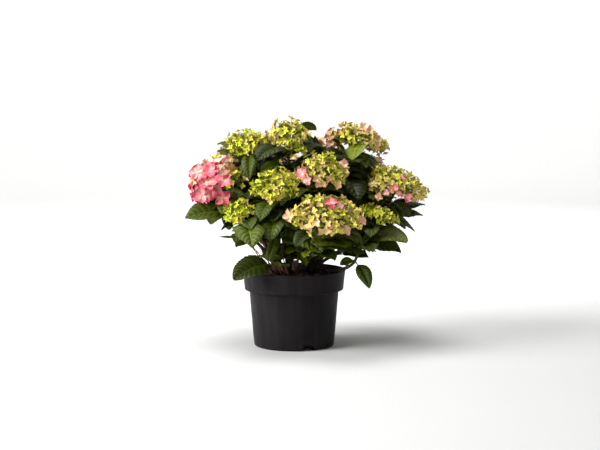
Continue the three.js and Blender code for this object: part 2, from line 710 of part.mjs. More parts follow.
const base = { pot: potSolid(), soil: soilSolid(), stub: stubSolid() };
show('pot', base.pot, COLOURS.pot);
show('compost', base.soil, COLOURS.soil);
show('stub', base.stub, COLOURS.stub);

const shoots = [...SHOOTS.map(grow), ...BLIND.map(growBlind)];
const leaves = growLeaves(shoots).filter((leaf) => crownShare(leaf.samples[MIDDLE_SAMPLE]) > INNER);
const limbs = Object.values(base);

for (const shoot of shoots) {
  shoot.leaves = leaves.filter((leaf) => leaf.shoot === shoot.index);
  if (shoot.head) {
    const end = caneEnd(shoot);
    shoot.cane = stretch(shoot, 0, end, CANE.steps);
    shoot.stem = stretch(shoot, end + GAP, shoot.path.length - STALK - GAP, CANE.steps);
    shoot.bloom = headSolid(shoot);
    limbs.push(shoot.cane, shoot.bloom);
  } else {
    shoot.stem = stretch(shoot, 0, shoot.path.length, CANE.steps);
  }
  limbs.push(shoot.stem);
}

// A leaf that would touch a head, a cane, another stem or another mass is left out.
const masses = [];
const touches = (a, b) => a.intersect(b).volume() > 0;
for (const shoot of shoots) {
  const others = [...limbs.filter((other) => other !== shoot.stem), ...masses];
  const kept = [shoot.stem];
  for (const leaf of shoot.leaves) {
    const whole = leafSolid(leaf);
    if (!others.some((other) => touches(other, whole))) kept.push(whole);
  }
  const mass = fuse(kept);
  masses.push(mass);
  if (shoot.head) {
    const tint = shoot.wide < SMALL_HEAD ? COLOURS.lime : COLOURS.cream;
    show(`cane_${shoot.name}`, shoot.cane, COLOURS.cane);
    show(`leaves_${shoot.name}`, mass, COLOURS.leaves);
    show(`head_${shoot.name}`, shoot.bloom, shoot.name === 'pink_left' ? COLOURS.pink : tint);
  } else {
    show(shoot.name, mass, COLOURS.leaves);
  }
}

export default plant;
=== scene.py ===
import math

import bpy
import numpy as np
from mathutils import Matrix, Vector


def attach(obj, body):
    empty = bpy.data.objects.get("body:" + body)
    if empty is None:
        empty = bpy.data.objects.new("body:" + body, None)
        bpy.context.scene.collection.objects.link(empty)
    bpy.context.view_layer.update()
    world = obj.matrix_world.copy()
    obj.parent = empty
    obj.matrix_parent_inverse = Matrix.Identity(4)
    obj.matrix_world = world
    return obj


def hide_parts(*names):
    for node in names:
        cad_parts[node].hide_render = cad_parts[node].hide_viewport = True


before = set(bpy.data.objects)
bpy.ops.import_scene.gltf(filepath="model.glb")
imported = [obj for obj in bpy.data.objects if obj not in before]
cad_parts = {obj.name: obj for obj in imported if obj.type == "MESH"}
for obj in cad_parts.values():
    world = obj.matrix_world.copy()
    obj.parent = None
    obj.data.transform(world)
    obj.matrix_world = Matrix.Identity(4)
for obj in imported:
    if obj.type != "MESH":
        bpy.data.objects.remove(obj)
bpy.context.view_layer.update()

# A potted mophead hydrangea: every leaf, floret, cane and crumb, grown by the rule that its solids follow.
# Lengths are millimetres until a mesh is made. X runs to the right of the front view, Y away, Z up.

MM = 0.001
DEGREE = math.pi / 180
GOLDEN_TURN = math.pi * (3 - math.sqrt(5))

# The span that the start of a wave is drawn from, about a turn

WAVE_START = (0, 6)


class Named:
    """Values that are read by name."""

    def __init__(self, **values):
        vars(self).update(values)


# Driving dimensions of the pot

POT = Named(
    height=142, rim_top_r=95, rim_low_r=92, collar_height=38, collar_chamfer=6,
    lip=3.5, lip_out=0.8, body_top_r=83, base_r=74.3, corner=4, wall=1.6,
    floor_under=10, floor=2.4, foot_width=6, boss_r=14, notch_turns=[-69.4, 50.6, 170.6],
    notch_low=33, notch_high=16, notch_tall=9.6, drains=6, drain_r=5, drain_ring=46,
    sides=144, body_rings=(20, 60), collar_ring=125,
)
COLLAR_Z = POT.height - POT.collar_height
SOIL_TOP_Z = POT.height - 4
SOIL_EDGE_Z = POT.height - 10

# The gap that keeps two solids apart where they stand on each other

GAP = 0.3

# Driving dimensions of the plant, which the growth rule reads

STUB = Named(radii=[17, 12.5, 11, 10.4, 8.6], tall=19, lean=(-3, 2))
FOOT_RING = Named(least=25, spread=0.13)
CANE = Named(foot_r=3.4, tip_r=2.3, splay=1.15, rise=22, rise_share=0.1375, pull=62)
CROWN = Named(middle=(25, 0, 250), reach=(226, 214, 178), below=92)
LEAF = Named(
    open=62 * DEGREE, petiole=0.24, width_share=0.66, widest=0.76, blunt=0.85,
    fold=14 * DEGREE, first_node=22, internode=24, lowest_node=22,
    sizes=[0.76, 0.95, 1.04, 1.04, 0.98, 0.9, 0.8], lowering=0.1, pitches=(-0.35, 0.95),
    half_span=0.62, clear=7, stem_clear=7, own_clear=8, head_clear=2, pot_clear=(4, 3), posed_ease=0.55,
)

# How far a head reaches below its middle and where its neck is, as shares of its half height

HEAD_BELOW = 0.55
NECK = 0.45

# One entry for each flowering cane: the middle of its head, the head's half width and half height, how
# far its axis leans out, the turn of its top pair of leaves, the length of its leaves, and how ripe its
# florets are: in the middle, how much more at the rim, how much more along a direction, and which.

SHOOTS = [
    ("pink_left", (-143, -30, 308), 54, 44, 42, 20, 98, (6.9, 0.2, 3.2, (-0.92, -0.3, -0.15))),
    ("upper_left", (-90, -20, 377), 38, 29, 24, 75, 84, (1.3, 0.4, 0.5, (1, 0, 0.4))),
    ("top_middle", (-11, -30, 390), 42, 32, 5, 20, 92, (2.0, 0.4, 0.6, (-0.5, 0, 0.6))),
    ("top_right", (116, 10, 382), 58, 30, 20, 100, 96, (2.6, 0.5, 0.3, (0.6, 0, 0.6))),
    ("centre", (51, -95, 330), 49, 36, 24, 10, 96, (2.2, 1.7, 0.7, (-0.4, 0, -0.7))),
    ("mid_left", (-39, -110, 307), 46, 34, 28, 40, 96, (1.4, 1.0, 0.4, (-0.4, 0, 0.6))),
    ("right", (188, -30, 297), 60, 33, 24, 0, 98, (2.6, 0.6, 0.7, (0.3, 0, -0.8))),
    ("low_centre", (58, -149, 257), 68, 38, 17, 15, 102, (2.4, 1.1, 0.4, (0.5, 0, -0.6))),
    ("low_left", (-102, -112, 259), 34, 19, 30, 30, 92, (0.8, 0.5, 0.2, (1, 0, 0))),
    ("low_right", (155, -90, 249), 38, 17, 22, 50, 96, (1.6, 0.9, 0.3, (1, 0, 0))),
    ("upper_right", (145, 62, 331), 32, 20, 26, 64, 92, (4.8, 0.4, 0.3, (0, 0, 1))),
    ("top_back", (64, 92, 364), 28, 24, 14, 45, 92, (5.4, 0.5, 0.3, (0, 0, 1))),
    ("back_left", (-122, 76, 333), 44, 33, 34, 10, 96, (3.4, 0.6, 2.0, (-0.3, 0.9, -0.3))),
    ("back_middle", (-32, 142, 316), 48, 36, 30, 35, 96, (3.0, 1.5, 0.9, (0.5, 0.8, 0))),
    ("back_right", (76, 152, 316), 46, 34, 32, 80, 96, (1.8, 1.4, 0.5, (1, 0, 0))),
    ("low_back_left", (-106, 146, 258), 38, 27, 34, 20, 92, (1.1, 0.8, 0.4, (0, 1, 0))),
    ("low_back_right", (158, 124, 262), 40, 27, 32, 55, 92, (3.6, 0.9, 1.2, (0.7, 0.7, -0.4))),
]
HIGHEST_HEAD = max(head[2] for _, head, *_ in SHOOTS)

# Heads with a second lobe, and its size as a share of the head's

LOBES = {"upper_left": (-26, 4, 12), "top_middle": (14, -12, -25)}
LOBE_SIZE = 0.5

# Smaller lobes that only the fine heads have: where from the head's middle, half width, half height and
# how ripe.

FINE_LOBES = {
    "top_middle": [((-26, 0, -10), 22, 20, 2.2), ((15, -16, -26), 22, 19, 1.5),
                   ((-12, -8, -19), 22, 15, 2.0)],
    "upper_left": [((22, 0, -2), 24, 20, 1.6)],
    "pink_left": [((40, -24, -2), 27, 28, 2.2), ((-4, -16, -14), 34, 24, 8.0),
                  ((-22, -8, 14), 30, 28, 7.2)],
    "top_right": [((-36, -2, 0), 28, 20, 4.6), ((36, -4, -10), 24, 18, 1.8)],
    "low_centre": [((-44, -4, -8), 26, 20, 4.0)],
    "right": [((-34, -6, -8), 26, 22, 3.4)],
}

# Heads that lie a little aside in the photo, or are narrower or lower, than their solids: how far aside,
# and the shares of the half width and the half height.

FINE_DOMES = {
    "upper_left": ((9, 0, -5), 0.95, 1.06),
    "top_right": ((5, 0, -4), 0.98, 0.97),
    "centre": ((0, 0, -2), 1, 0.95),
    "mid_left": ((7, 0, -6), 0.98, 1),
    "low_centre": ((0, 0, -5), 0.96, 0.94),
    "low_left": ((5, 0, -2), 1, 1),
}

# Single florets listed one by one, most of them riper than their head: where, how ripe and how wide.

SINGLES = {
    "low_centre": [((64, -184, 282), 8.8, 25), ((80, -180, 276), 7.6, 18), ((60, -192, 240), 5.8, 22),
                   ((-8, -182, 258), 5.3, 27), ((116, -178, 250), 6.0, 22), ((92, -186, 234), 5.6, 22)],
    "right": [((195, -78, 318), 8.8, 14), ((180, -92, 300), 8.6, 17), ((188, -90, 290), 8.0, 14),
              ((204, -86, 282), 8.6, 20), ((152, -86, 284), 5.8, 20), ((166, -90, 292), 7.4, 16),
              ((234, -50, 292), 5.8, 20)],
    "centre": [((14, -130, 330), 8.0, 25), ((24, -136, 319), 7.4, 24), ((88, -122, 346), 6.8, 20),
               ((76, -138, 309), 4.4, 20)],
    "top_right": [((126, -22, 405), 5.0, 22), ((138, -22, 400), 5.0, 20)],
    "pink_left": [((-126, -84, 312), 8.6, 33), ((-128, -84, 282), 8.8, 36), ((-166, -76, 286), 8.4, 38)],
}

# Short shoots with leaves only: foot, a place that they bend by, tip, turn of the top pair of leaves and
# length of the leaves.

BLIND = [
    ("low_shoot_left", (-20, -52), (-26, -56, 158), (-36, -58, 166), 60, 62),
    ("low_shoot_front", (6, -52), (4, -60, 160), (12, -66, 178), 30, 44),
    ("low_shoot_right", (55, -20), (110, -66, 154), (120, -92, 202), 10, 70),
]

# The leaves that stand out most: the stem each is on, how far below its end, where its tip hangs, its
# droop and roll, and its green.

POSED = [
    ("low_shoot_left", 4, (-108, -100, 148), 34, -20, "dark"),
    ("low_shoot_right", 42, (132, -104, 114), 34, 8, "mid"),
    # This leaf's light green is painted light, against the shade of the head above it.
    ("low_shoot_right", 2, (30, -142, 206), 26, -24, "light"),
    ("low_shoot_right", 16, (138, -156, 192), 40, 6, "mid"),
    ("pink_left", 56, (-196, -62, 244), 28, -16, "mid"),
    ("pink_left", 32, (-172, 42, 260), 30, -6, "dark"),
    ("low_left", 26, (-72, -180, 203), 66, 4, "fresh"),
    ("mid_left", 46, (-40, -152, 212), 50, 12, "mid"),
    ("low_centre", 78, (-20, -140, 208), 30, -20, "fresh"),
    ("low_centre", 94, (72, -146, 176), 30, 6, "mid"),
    ("low_right", 46, (202, -122, 206), 36, 22, "grey"),
    ("low_right", 74, (192, -104, 184), 26, 16, "mid"),
    ("low_right", 112, (136, -60, 170), 30, 20, "dark"),
    ("low_shoot_right", 62, (86, -88, 160), 20, -10, "dark"),
    ("right", 64, (226, -66, 244), 20, 10, "mid"),
    ("right", 44, (236, 24, 260), 16, 6, "dark"),
    ("right", 40, (128, -68, 278), 30, -6, "mid"),
    ("top_right", 8, (92, -62, 340), 56, -6, "light"),
    ("top_right", 26, (58, -44, 350), 40, -30, "dark"),
    ("upper_right", 32, (206, 50, 312), 18, 10, "dark"),
    ("upper_left", 32, (-143, 26, 360), 16, -6, "mid"),
    ("upper_left", 50, (-148, 54, 350), 24, -10, "dark"),
    ("upper_left", 8, (-80, -78, 314), 56, 6, "mid"),
    ("top_middle", 40, (-60, -66, 326), 34, -16, "mid"),
    ("top_back", 36, (26, 60, 414), 16, 24, "mid"),
    ("top_back", 52, (38, 14, 388), 24, 0, "mid"),
    ("low_shoot_front", 2, (32, -88, 160), 30, 0, "fresh"),
    ("low_shoot_front", 6, (-4, -92, 170), 30, 0, "fresh"),
]

# Smaller leaves that stand out in the photo and that the solids leave out, in the same terms.

POSED_FINE = [
    ("upper_left", 34, (-150, 10, 362), 30, -10, "dark"),
    ("top_middle", 40, (-34, 18, 364), 30, 10, "dark"),
    ("low_left", 56, (-136, -112, 214), 4, 70, "dark"),
    ("low_centre", 40, (58, -176, 204), 30, 0, "mid"),
    ("mid_left", 20, (-70, -140, 268), 40, -10, "mid"),
    ("centre", 40, (20, -150, 286), 40, 12, "dark"),
    ("right", 22, (150, -90, 262), 40, 0, "mid"),
    ("upper_right", 34, (98, -6, 320), 30, -10, "dark"),
    ("upper_right", 50, (112, -20, 298), 36, 10, "dark"),
    ("right", 66, (112, -24, 304), 20, -20, "mid"),
    ("top_middle", 26, (-52, -8, 366), 20, 0, "dark"),
    ("top_middle", 34, (-44, 10, 352), 20, 10, "dark"),
    ("low_shoot_left", 16, (-64, -104, 178), 30, 10, "mid"),
    ("low_shoot_left", 24, (-22, -96, 176), 30, -10, "mid"),
    ("low_left", 70, (-66, -130, 196), 30, 0, "dark"),
]

# The same, for leaves that pass close behind a head, where the spacing of the rule would turn them away.

POSED_CLOSE = [
    ("upper_left", 22, (-143, 38, 371), 50, -10, "mid"),
    ("top_middle", 8, (42, 26, 398), 84, -48, "mid"),
    ("mid_left", 66, (50, -146, 190), 20, 30, "fresh"),
    ("mid_left", 80, (-46, -116, 170), 20, 0, "mid"),
    ("low_shoot_front", 2, (24, -96, 164), 30, 0, "light"),
    ("low_shoot_right", 40, (80, -100, 161), 40, -45, "fresh"),
    # Two low leaves at the back in the deep green: dark sheets of painted shade among the canes.
    ("back_middle", 140, (6, 62, 147), 50, 0, "deep"),
    ("back_middle", 150, (-26, 60, 147), 50, 0, "deep"),
]

# How the fine mesh of some of those leaves differs from the rule's blade, by where its tip hangs: shares
# of its width and length, degrees that are added to its pitch, heading and roll, another droop or fold, and
# how far it is shifted.

TOUCHED = {
    (-108, -100, 148): {"wide": 1.06, "long": 1.05, "pitch": -6, "roll": -8, "shift": (1.5, 0, -3)},
    (132, -104, 114): {"wide": 0.68, "long": 0.98, "pitch": 8, "roll": 20},
    (92, -62, 340): {"wide": 1.45, "long": 0.62, "fold": 4, "roll": 16, "pitch": -48, "heading": -20,
                     "droop": 24, "shift": (14, -16, 23)},
    (-136, -112, 214): {"wide": 0.1},
    (-143, 38, 371): {"wide": 0.7},
    (42, 26, 398): {"wide": 0.58},
    (128, -68, 278): {"wide": 0.8, "pitch": 14},
    (50, -146, 190): {"wide": 0.8},
    (26, 60, 414): {"wide": 0.5},
    (-80, -78, 314): {"wide": 0.6},
    (38, 14, 388): {"wide": 0.35},
    (-46, -116, 170): {"wide": 0.5},
    (24, -96, 164): {"wide": 0.6},
    (80, -100, 161): {"wide": 0.66, "long": 0.92},
    (-196, -62, 244): {"wide": 1.02, "long": 0.97, "roll": -12, "shift": (0, 0, -4)},
}


# Small helpers

def vec(*parts):
    return np.array(parts, float)


def unit(a):
    a = np.asarray(a, float)
    return a / np.linalg.norm(a, axis=-1, keepdims=True)


def across(way):
    """Two unit vectors square to each direction, the first as near to +X as it can be."""
    way = np.asarray(way, float)
    first = unit(vec(1, 0, 0) - way * way[..., :1])
    return first, np.cross(way, first)


def spun(way, turn):
    """Two unit vectors square to a direction and to each other, turned about it."""
    u, v = across(way)
    first = u * math.cos(turn) + v * math.sin(turn)
    return first, np.cross(way, first)


def stood(points, way, turn):
    """Points stood up so that their Z runs along a direction, and turned about it."""
    first, second = spun(way, turn)
    return points[:, :1] * first + points[:, 1:2] * second + points[:, 2:] * way


def turns_round(count):
    """Equal turns that go once round."""
    return np.arange(count) * 2 * np.pi / count


def smooth_step(low, high, x):
    share = np.clip((x - low) / (high - low), 0, 1)
    return share * share * (3 - 2 * share)


def seeded(seed):
    """A repeatable run of numbers from 0 to 1, the same as the solids are grown with."""
    mask = 0xFFFFFFFF
    state = seed & mask

    def draw():
        nonlocal state
        state = (state + 0x6D2B79F5) & mask
        t = ((state ^ (state >> 15)) * (state | 1)) & mask
        t ^= (t + ((t ^ (t >> 7)) * (t | 61))) & mask
        return ((t ^ (t >> 14)) & mask) / 4294967296

    return draw


def drawn(span, random):
    """A draw from a span that is given as its least and how much more."""
    return span[0] + span[1] * random()


def swayed(most, random):
    """A draw either side of nothing, over a span as wide as the most."""
    return (random() - 0.5) * most


# The rule of growth: a blade is tested at samples in rows, and a small one at every third sample

PATH_STEPS = 48
SPINE_STEPS = 12
SAMPLE_ROWS = 11
SAMPLE_COLUMNS = 7
SAMPLE_COUNT = SAMPLE_ROWS * SAMPLE_COLUMNS
MIDDLE_SAMPLE = SAMPLE_COUNT // 2
SAMPLE_UPS = np.repeat(np.arange(1, SAMPLE_ROWS + 1) / (SAMPLE_ROWS + 0.5), SAMPLE_COLUMNS)
SAMPLE_SIDES = np.tile(np.arange(-3, 4) / 3, SAMPLE_ROWS)
SPARSE = 3


class Path:
    """A cubic Bezier curve as a run of points with the distance along it at each."""

    def __init__(self, a, b, c, d):
        t = np.linspace(0, 1, PATH_STEPS + 1)[:, None]
        s = 1 - t
        self.points = s**3 * a + 3 * s * s * t * b + 3 * s * t * t * c + t**3 * d
        steps = np.linalg.norm(np.diff(self.points, axis=0), axis=1)
        self.along = np.concatenate([[0], np.cumsum(steps)])
        self.length = self.along[-1]

    def at(self, distance):
        i = min(PATH_STEPS, max(1, int(np.searchsorted(self.along, distance))))
        step = self.points[i] - self.points[i - 1]
        share = (distance - self.along[i - 1]) / (self.along[i] - self.along[i - 1])
        return self.points[i - 1] + step * share, unit(step)


class Shoot:
    """A stem from the compost: a flowering one with a head, or a short blind one."""

    def __init__(self, name, index, path, turn, leaf):
        self.name = name
        self.index = index
        self.path = path
        self.turn = turn * DEGREE
        self.leaf = leaf
        self.head = None
        self.nodes = []


def grow(entry, index):
    name, head, wide, tall, lean, turn, leaf, ripeness = entry
    head = vec(*head)
    outward = math.atan2(head[1], head[0] - STUB.lean[0])
    lean = lean * DEGREE
    axis = vec(math.sin(lean) * math.cos(outward), math.sin(lean) * math.sin(outward), math.cos(lean))
    neck = head - axis * NECK * tall
    ring = FOOT_RING.least + FOOT_RING.spread * (HIGHEST_HEAD - head[2])
    foot = vec(ring * math.cos(outward), ring * math.sin(outward), SOIL_TOP_Z + GAP)
    risen = CANE.rise + CANE.rise_share * (neck[2] - foot[2])
    rise = vec(foot[0] * CANE.splay, foot[1] * CANE.splay, foot[2] + risen)
    shoot = Shoot(name, index, Path(foot, rise, neck - axis * CANE.pull, neck), turn, leaf)
    shoot.head, shoot.axis, shoot.wide, shoot.tall, shoot.ripeness = head, axis, wide, tall, ripeness
    return shoot


def grow_blind(entry, index):
    name, foot, by, tip, turn, leaf = entry
    path = Path(vec(*foot, SOIL_TOP_Z + GAP), vec(*by), vec(*by), vec(*tip))
    return Shoot(name, index, path, turn, leaf)


def leaf_outline(share, blunt=LEAF.blunt):
    """The half width of a leaf at a share of its blade's length, as a share of its widest."""
    return np.maximum(np.sin(np.pi * np.clip(share, 0, 1) ** LEAF.widest), 0) ** blunt


def pointing(heading, pitch):
    return np.stack([np.cos(heading) * np.cos(pitch), np.sin(heading) * np.cos(pitch), np.sin(pitch)], -1)


def blade_sides(heading, pitch, roll):
    """The directions across a blade and up from its face."""
    heading, pitch = np.broadcast_arrays(heading, pitch)
    level = np.stack([-np.sin(heading), np.cos(heading), np.zeros_like(heading)], -1)
    back = -np.sin(pitch)
    above = np.stack([back * np.cos(heading), back * np.sin(heading), np.cos(pitch)], -1)
    side = level * math.cos(roll) + above * math.sin(roll)
    return side, above * math.cos(roll) - level * math.sin(roll)


def blade_samples(leaf, headings, pitches, long):
    """The points that stand for a blade when two leaves are kept apart, for several turns and tilts."""
    h = headings[:, None]
    bends = (np.arange(1, SPINE_STEPS + 1) - 0.5) / SPINE_STEPS
    steps = pointing(h, pitches[:, None] - leaf["droop"] * bends) * (long / SPINE_STEPS)
    start = leaf["from"] + pointing(h, pitches[:, None]) * (long * LEAF.petiole)
    spine = np.concatenate([start, start + np.cumsum(steps, axis=1)], axis=1)
    place = SAMPLE_UPS * SPINE_STEPS
    i = np.minimum(SPINE_STEPS - 1, np.floor(place).astype(int))
    at = spine[:, i] + (spine[:, i + 1] - spine[:, i]) * (place - i)[:, None]
    side, top = blade_sides(h, pitches[:, None] - leaf["droop"] * SAMPLE_UPS, leaf["roll"])
    half = SAMPLE_SIDES * 0.5 * long * LEAF.width_share * leaf_outline(SAMPLE_UPS)
    out = at + side * (half * math.cos(LEAF.fold))[:, None]
    return out + top * (np.abs(half) * math.sin(LEAF.fold))[:, None]


def in_head(points, shoot, margin):
    away = points - shoot.head
    rise = away @ shoot.axis
    tall = shoot.tall * np.where(rise < 0, HEAD_BELOW, 1) + margin
    wide = shoot.wide + margin
    return ((away * away).sum(-1) - rise * rise) / wide**2 + (rise / tall) ** 2 < 1


def crown_share(points):
    """How far out points lie in the crown, as a share of its reach."""
    away = points - vec(*CROWN.middle)
    tall = np.where(away[..., 2] > 0, CROWN.reach[2], CROWN.below)
    return np.sqrt((away[..., 0] / CROWN.reach[0]) ** 2 + (away[..., 1] / CROWN.reach[1]) ** 2
                   + (away[..., 2] / tall) ** 2)


def near_pot(points):
    out, up = LEAF.pot_clear
    ring = np.hypot(points[..., 0], points[..., 1])
    return (ring < POT.rim_top_r + out) & (points[..., 2] < POT.height + up)


def nearest(points, others):
    """The square of the distance from each point to the nearest of some others."""
    flat = points.reshape(-1, 3)
    squares = (flat * flat).sum(1)[:, None] - 2 * flat @ others.T + (others * others).sum(1)
    return squares.min(1).reshape(points.shape[:-1])


class Space:
    """Every blade placed so far, which the next must stay clear of."""

    def __init__(self, shoots):
        self.shoots = shoots
        self.stems = [shoot.path.points[::2] for shoot in shoots]
        self.middles = np.zeros((0, 3))
        self.longs = np.zeros(0)
        self.samples = np.zeros((0, SAMPLE_COUNT, 3))

    def fits(self, samples, long, leaf, ease):
        """Which of several tries for a blade is the first that is clear, as a row of true and false."""
        clear = ~near_pot(samples).any(1)
        if not leaf.get("posed"):
            clear &= ~(crown_share(samples) > 1).any(1)
        for shoot, stem in zip(self.shoots, self.stems):
            tries = np.flatnonzero(clear)
            if not len(tries):
                return clear
            clear[tries[self.meets_shoot(samples[tries], long, leaf, ease, shoot, stem)]] = False
        together = LEAF.half_span * (long + self.longs) + LEAF.clear
        gap = ease * LEAF.clear
        for k in np.flatnonzero(clear):
            away = ((self.middles - samples[k, MIDDLE_SAMPLE]) ** 2).sum(1)
            close = self.samples[away < together**2].reshape(-1, 3)
            tested = samples[k, ::SPARSE] if leaf.get("side") else samples[k]
            if len(close) and (nearest(tested, close) < gap * gap).any():
                clear[k] = False
                continue
            clear[k + 1:] = False
            return clear
        return clear

    @staticmethod
    def meets_shoot(samples, long, leaf, ease, shoot, stem):
        """Which tries for a blade meet a shoot's head or come too near its stem."""
        blocked = np.zeros(len(samples), bool)
        if shoot.head is not None:
            blocked |= in_head(samples, shoot, ease * LEAF.head_clear).any(1)
        gap = ease * (LEAF.own_clear if shoot.index == leaf["shoot"] else LEAF.stem_clear)
        reach = LEAF.half_span * long + LEAF.stem_clear
        far = ((stem[None] - samples[:, None, MIDDLE_SAMPLE]) ** 2).sum(-1) >= reach**2
        some = stem[~far.all(0)]
        if len(some):
            tested = samples[:, ::SPARSE] if leaf.get("side") else samples
            blocked |= (nearest(tested, some) < gap * gap).any(1)
        return blocked

    def add(self, samples, long):
        self.middles = np.vstack([self.middles, samples[MIDDLE_SAMPLE]])
        self.longs = np.append(self.longs, long)
        self.samples = np.concatenate([self.samples, samples[None]])


# What is tried for a leaf until it is clear: shares of its length, then tilts, then turns

TRIED = Named(shares=[1, 0.8, 0.62], tilts=[0, 14, -14, 28, -28],
              turns=[0, 10, -10, 22, -22, 40, -40, 60, -60])
SIDE_TRIED = Named(shares=[1, 0.75], tilts=[0, 20, -20, 40], turns=[0, 18, -18, 40, -40, 65, -65])
LOW_TRIED = Named(shares=[1, 0.8, 0.6], tilts=[0, 16, -16, 30], turns=[0, 25, -25, 55, -55, 90, -90])

# How the leaves of the rule, the small ones between them and the low ones inside are drawn. A pair of
# numbers is the least and how much more.

PAIRS = Named(seed=101, seed_step=17, turn=0.35, droop=(0.75, 0.6), roll=0.5, long=(0.9, 0.2),
              apart=(0.85, 0.3))
SIDE = Named(rounds=2, open=48 * DEGREE, lower=5, turn=0.6, steepest=1.1, droop=(0.5, 0.7),
             roll=0.8, long=(0.42, 0.34), ease=0.5, seed=3001, seed_step=100)
LOW = Named(start=8, stop=90, every=8, pitch=(0.5, 0.4), droop=(0.6, 0.5), roll=0.8,
            long=(38, 22), ease=0.35, seed=5001, front=-34)
FINE_EASE = 0.35


def place_leaf(leaf, space, ease=None, tried=TRIED):
    """A leaf in the first place that is clear, or None: smaller sizes, other tilts and other turns."""
    tilts = np.repeat(tried.tilts, len(tried.turns)) * DEGREE
    turns = np.tile(tried.turns, len(tried.tilts)) * DEGREE
    ease = ease or (LEAF.posed_ease if leaf.get("posed") else 1)
    for share in tried.shares:
        long = leaf["long"] * share
        samples = blade_samples(leaf, leaf["heading"] + turns, leaf["pitch"] + tilts, long)
        clear = space.fits(samples, long, leaf, ease)
        if clear.any():
            k = int(np.argmax(clear))
            space.add(samples[k], long)
            return dict(leaf, heading=leaf["heading"] + turns[k], pitch=leaf["pitch"] + tilts[k], long=long,
                        middle=samples[k, MIDDLE_SAMPLE])
    return None


def pose_leaf(entry, shoots):
    """A leaf whose tip hangs at a given place, as long as its droop needs to reach there."""
    on, down, tip, droop, roll, green = entry
    shoot = next(shoot for shoot in shoots if shoot.name == on)
    start, _ = shoot.path.at(shoot.path.length - down)
    half = droop * DEGREE / 2
    blade = math.sin(half) / half
    reach = (blade + LEAF.petiole * math.cos(half), LEAF.petiole * math.sin(half))
    way = vec(*tip) - start
    away = float(np.linalg.norm(way))
    pitch = math.asin(way[2] / away) + half - math.atan2(reach[1], reach[0])
    return {"shoot": shoot.index, "from": start, "heading": math.atan2(way[1], way[0]), "pitch": pitch,
            "droop": droop * DEGREE, "roll": roll * DEGREE, "long": away / math.hypot(*reach),
            "posed": True, "green": green, "tip": tip}


def leaving(shoot, distance, turn, opening):
    """Where a petiole leaves a stem, and its heading and pitch there, at a turn round the stem."""
    at, way = shoot.path.at(distance)
    away = way * math.cos(opening) + spun(way, turn)[0] * math.sin(opening)
    return at, math.atan2(away[1], away[0]), math.asin(away[2])


def sprout(shoot, at, heading, pitch, terms, random, long=1, **more):
    """A leaf that isn't placed yet, with its droop, its roll and its length drawn."""
    return {"shoot": shoot.index, "from": at, "heading": heading, "pitch": pitch,
            "droop": drawn(terms.droop, random), "roll": swayed(terms.roll, random),
            "long": long * drawn(terms.long, random), **more}


def grow_leaves(shoots, space):
    """The posed leaves, then pairs of leaves down each shoot, each pair square to the one above it."""
    placed = [place_leaf(pose_leaf(entry, shoots), space) for entry in POSED]
    for shoot in shoots:
        random = seeded(PAIRS.seed + PAIRS.seed_step * shoot.index)
        distance = shoot.path.length - (0 if shoot.head is None else LEAF.first_node)
        pair = 0
        while distance > LEAF.lowest_node:
            shoot.nodes.append(distance)
            long = shoot.leaf * LEAF.sizes[min(pair, len(LEAF.sizes) - 1)]
            for half in (0, 1):
                turn = shoot.turn + pair * math.pi / 2 + half * math.pi + swayed(PAIRS.turn, random)
                at, heading, pitch = leaving(shoot, distance, turn, LEAF.open)
                pitch = min(LEAF.pitches[1], max(LEAF.pitches[0], pitch - pair * LEAF.lowering))
                placed.append(place_leaf(sprout(shoot, at, heading, pitch, PAIRS, random, long), space))
            distance -= LEAF.internode * drawn(PAIRS.apart, random)
            pair += 1
    return placed


def grow_side_leaves(shoots, space):
    """Small leaves on side shoots between the pairs, which the solids leave out."""
    placed = []
    for turn_round in range(SIDE.rounds):
        for shoot in shoots:
            random = seeded(SIDE.seed + SIDE.seed_step * turn_round + shoot.index)
            for pair, distance in enumerate(shoot.nodes):
                for half in (0, 1):
                    turn = shoot.turn + (pair + 0.5 + turn_round) * math.pi / 2 + half * math.pi
                    turn += swayed(SIDE.turn, random)
                    lower = distance - SIDE.lower * turn_round
                    at, heading, pitch = leaving(shoot, lower, turn, SIDE.open)
                    pitch = min(SIDE.steepest, pitch)
                    leaf = sprout(shoot, at, heading, pitch, SIDE, random, shoot.leaf, side=True)
                    placed.append(place_leaf(leaf, space, SIDE.ease, SIDE_TRIED))
    return placed


def grow_low_leaves(shoots, space):
    """Small leaves low on the canes at the back and the middle, which shade the inside, in the deep green
    of painted shade.
    """
    placed = []
    for shoot in shoots:
        if shoot.head is None or shoot.path.points[0][1] < LOW.front:
            continue
        random = seeded(LOW.seed + shoot.index)
        for distance in np.arange(LOW.start, LOW.stop, LOW.every):
            at, _ = shoot.path.at(distance)
            heading = random() * 2 * math.pi
            pitch = drawn(LOW.pitch, random)
            leaf = sprout(shoot, at, heading, pitch, LOW, random, side=True, green="deep")
            placed.append(place_leaf(leaf, space, LOW.ease, LOW_TRIED))
    return placed


# Meshes from arrays

def new_object(name, data):
    thing = bpy.data.objects.new(name, data)
    bpy.context.scene.collection.objects.link(thing)
    return thing


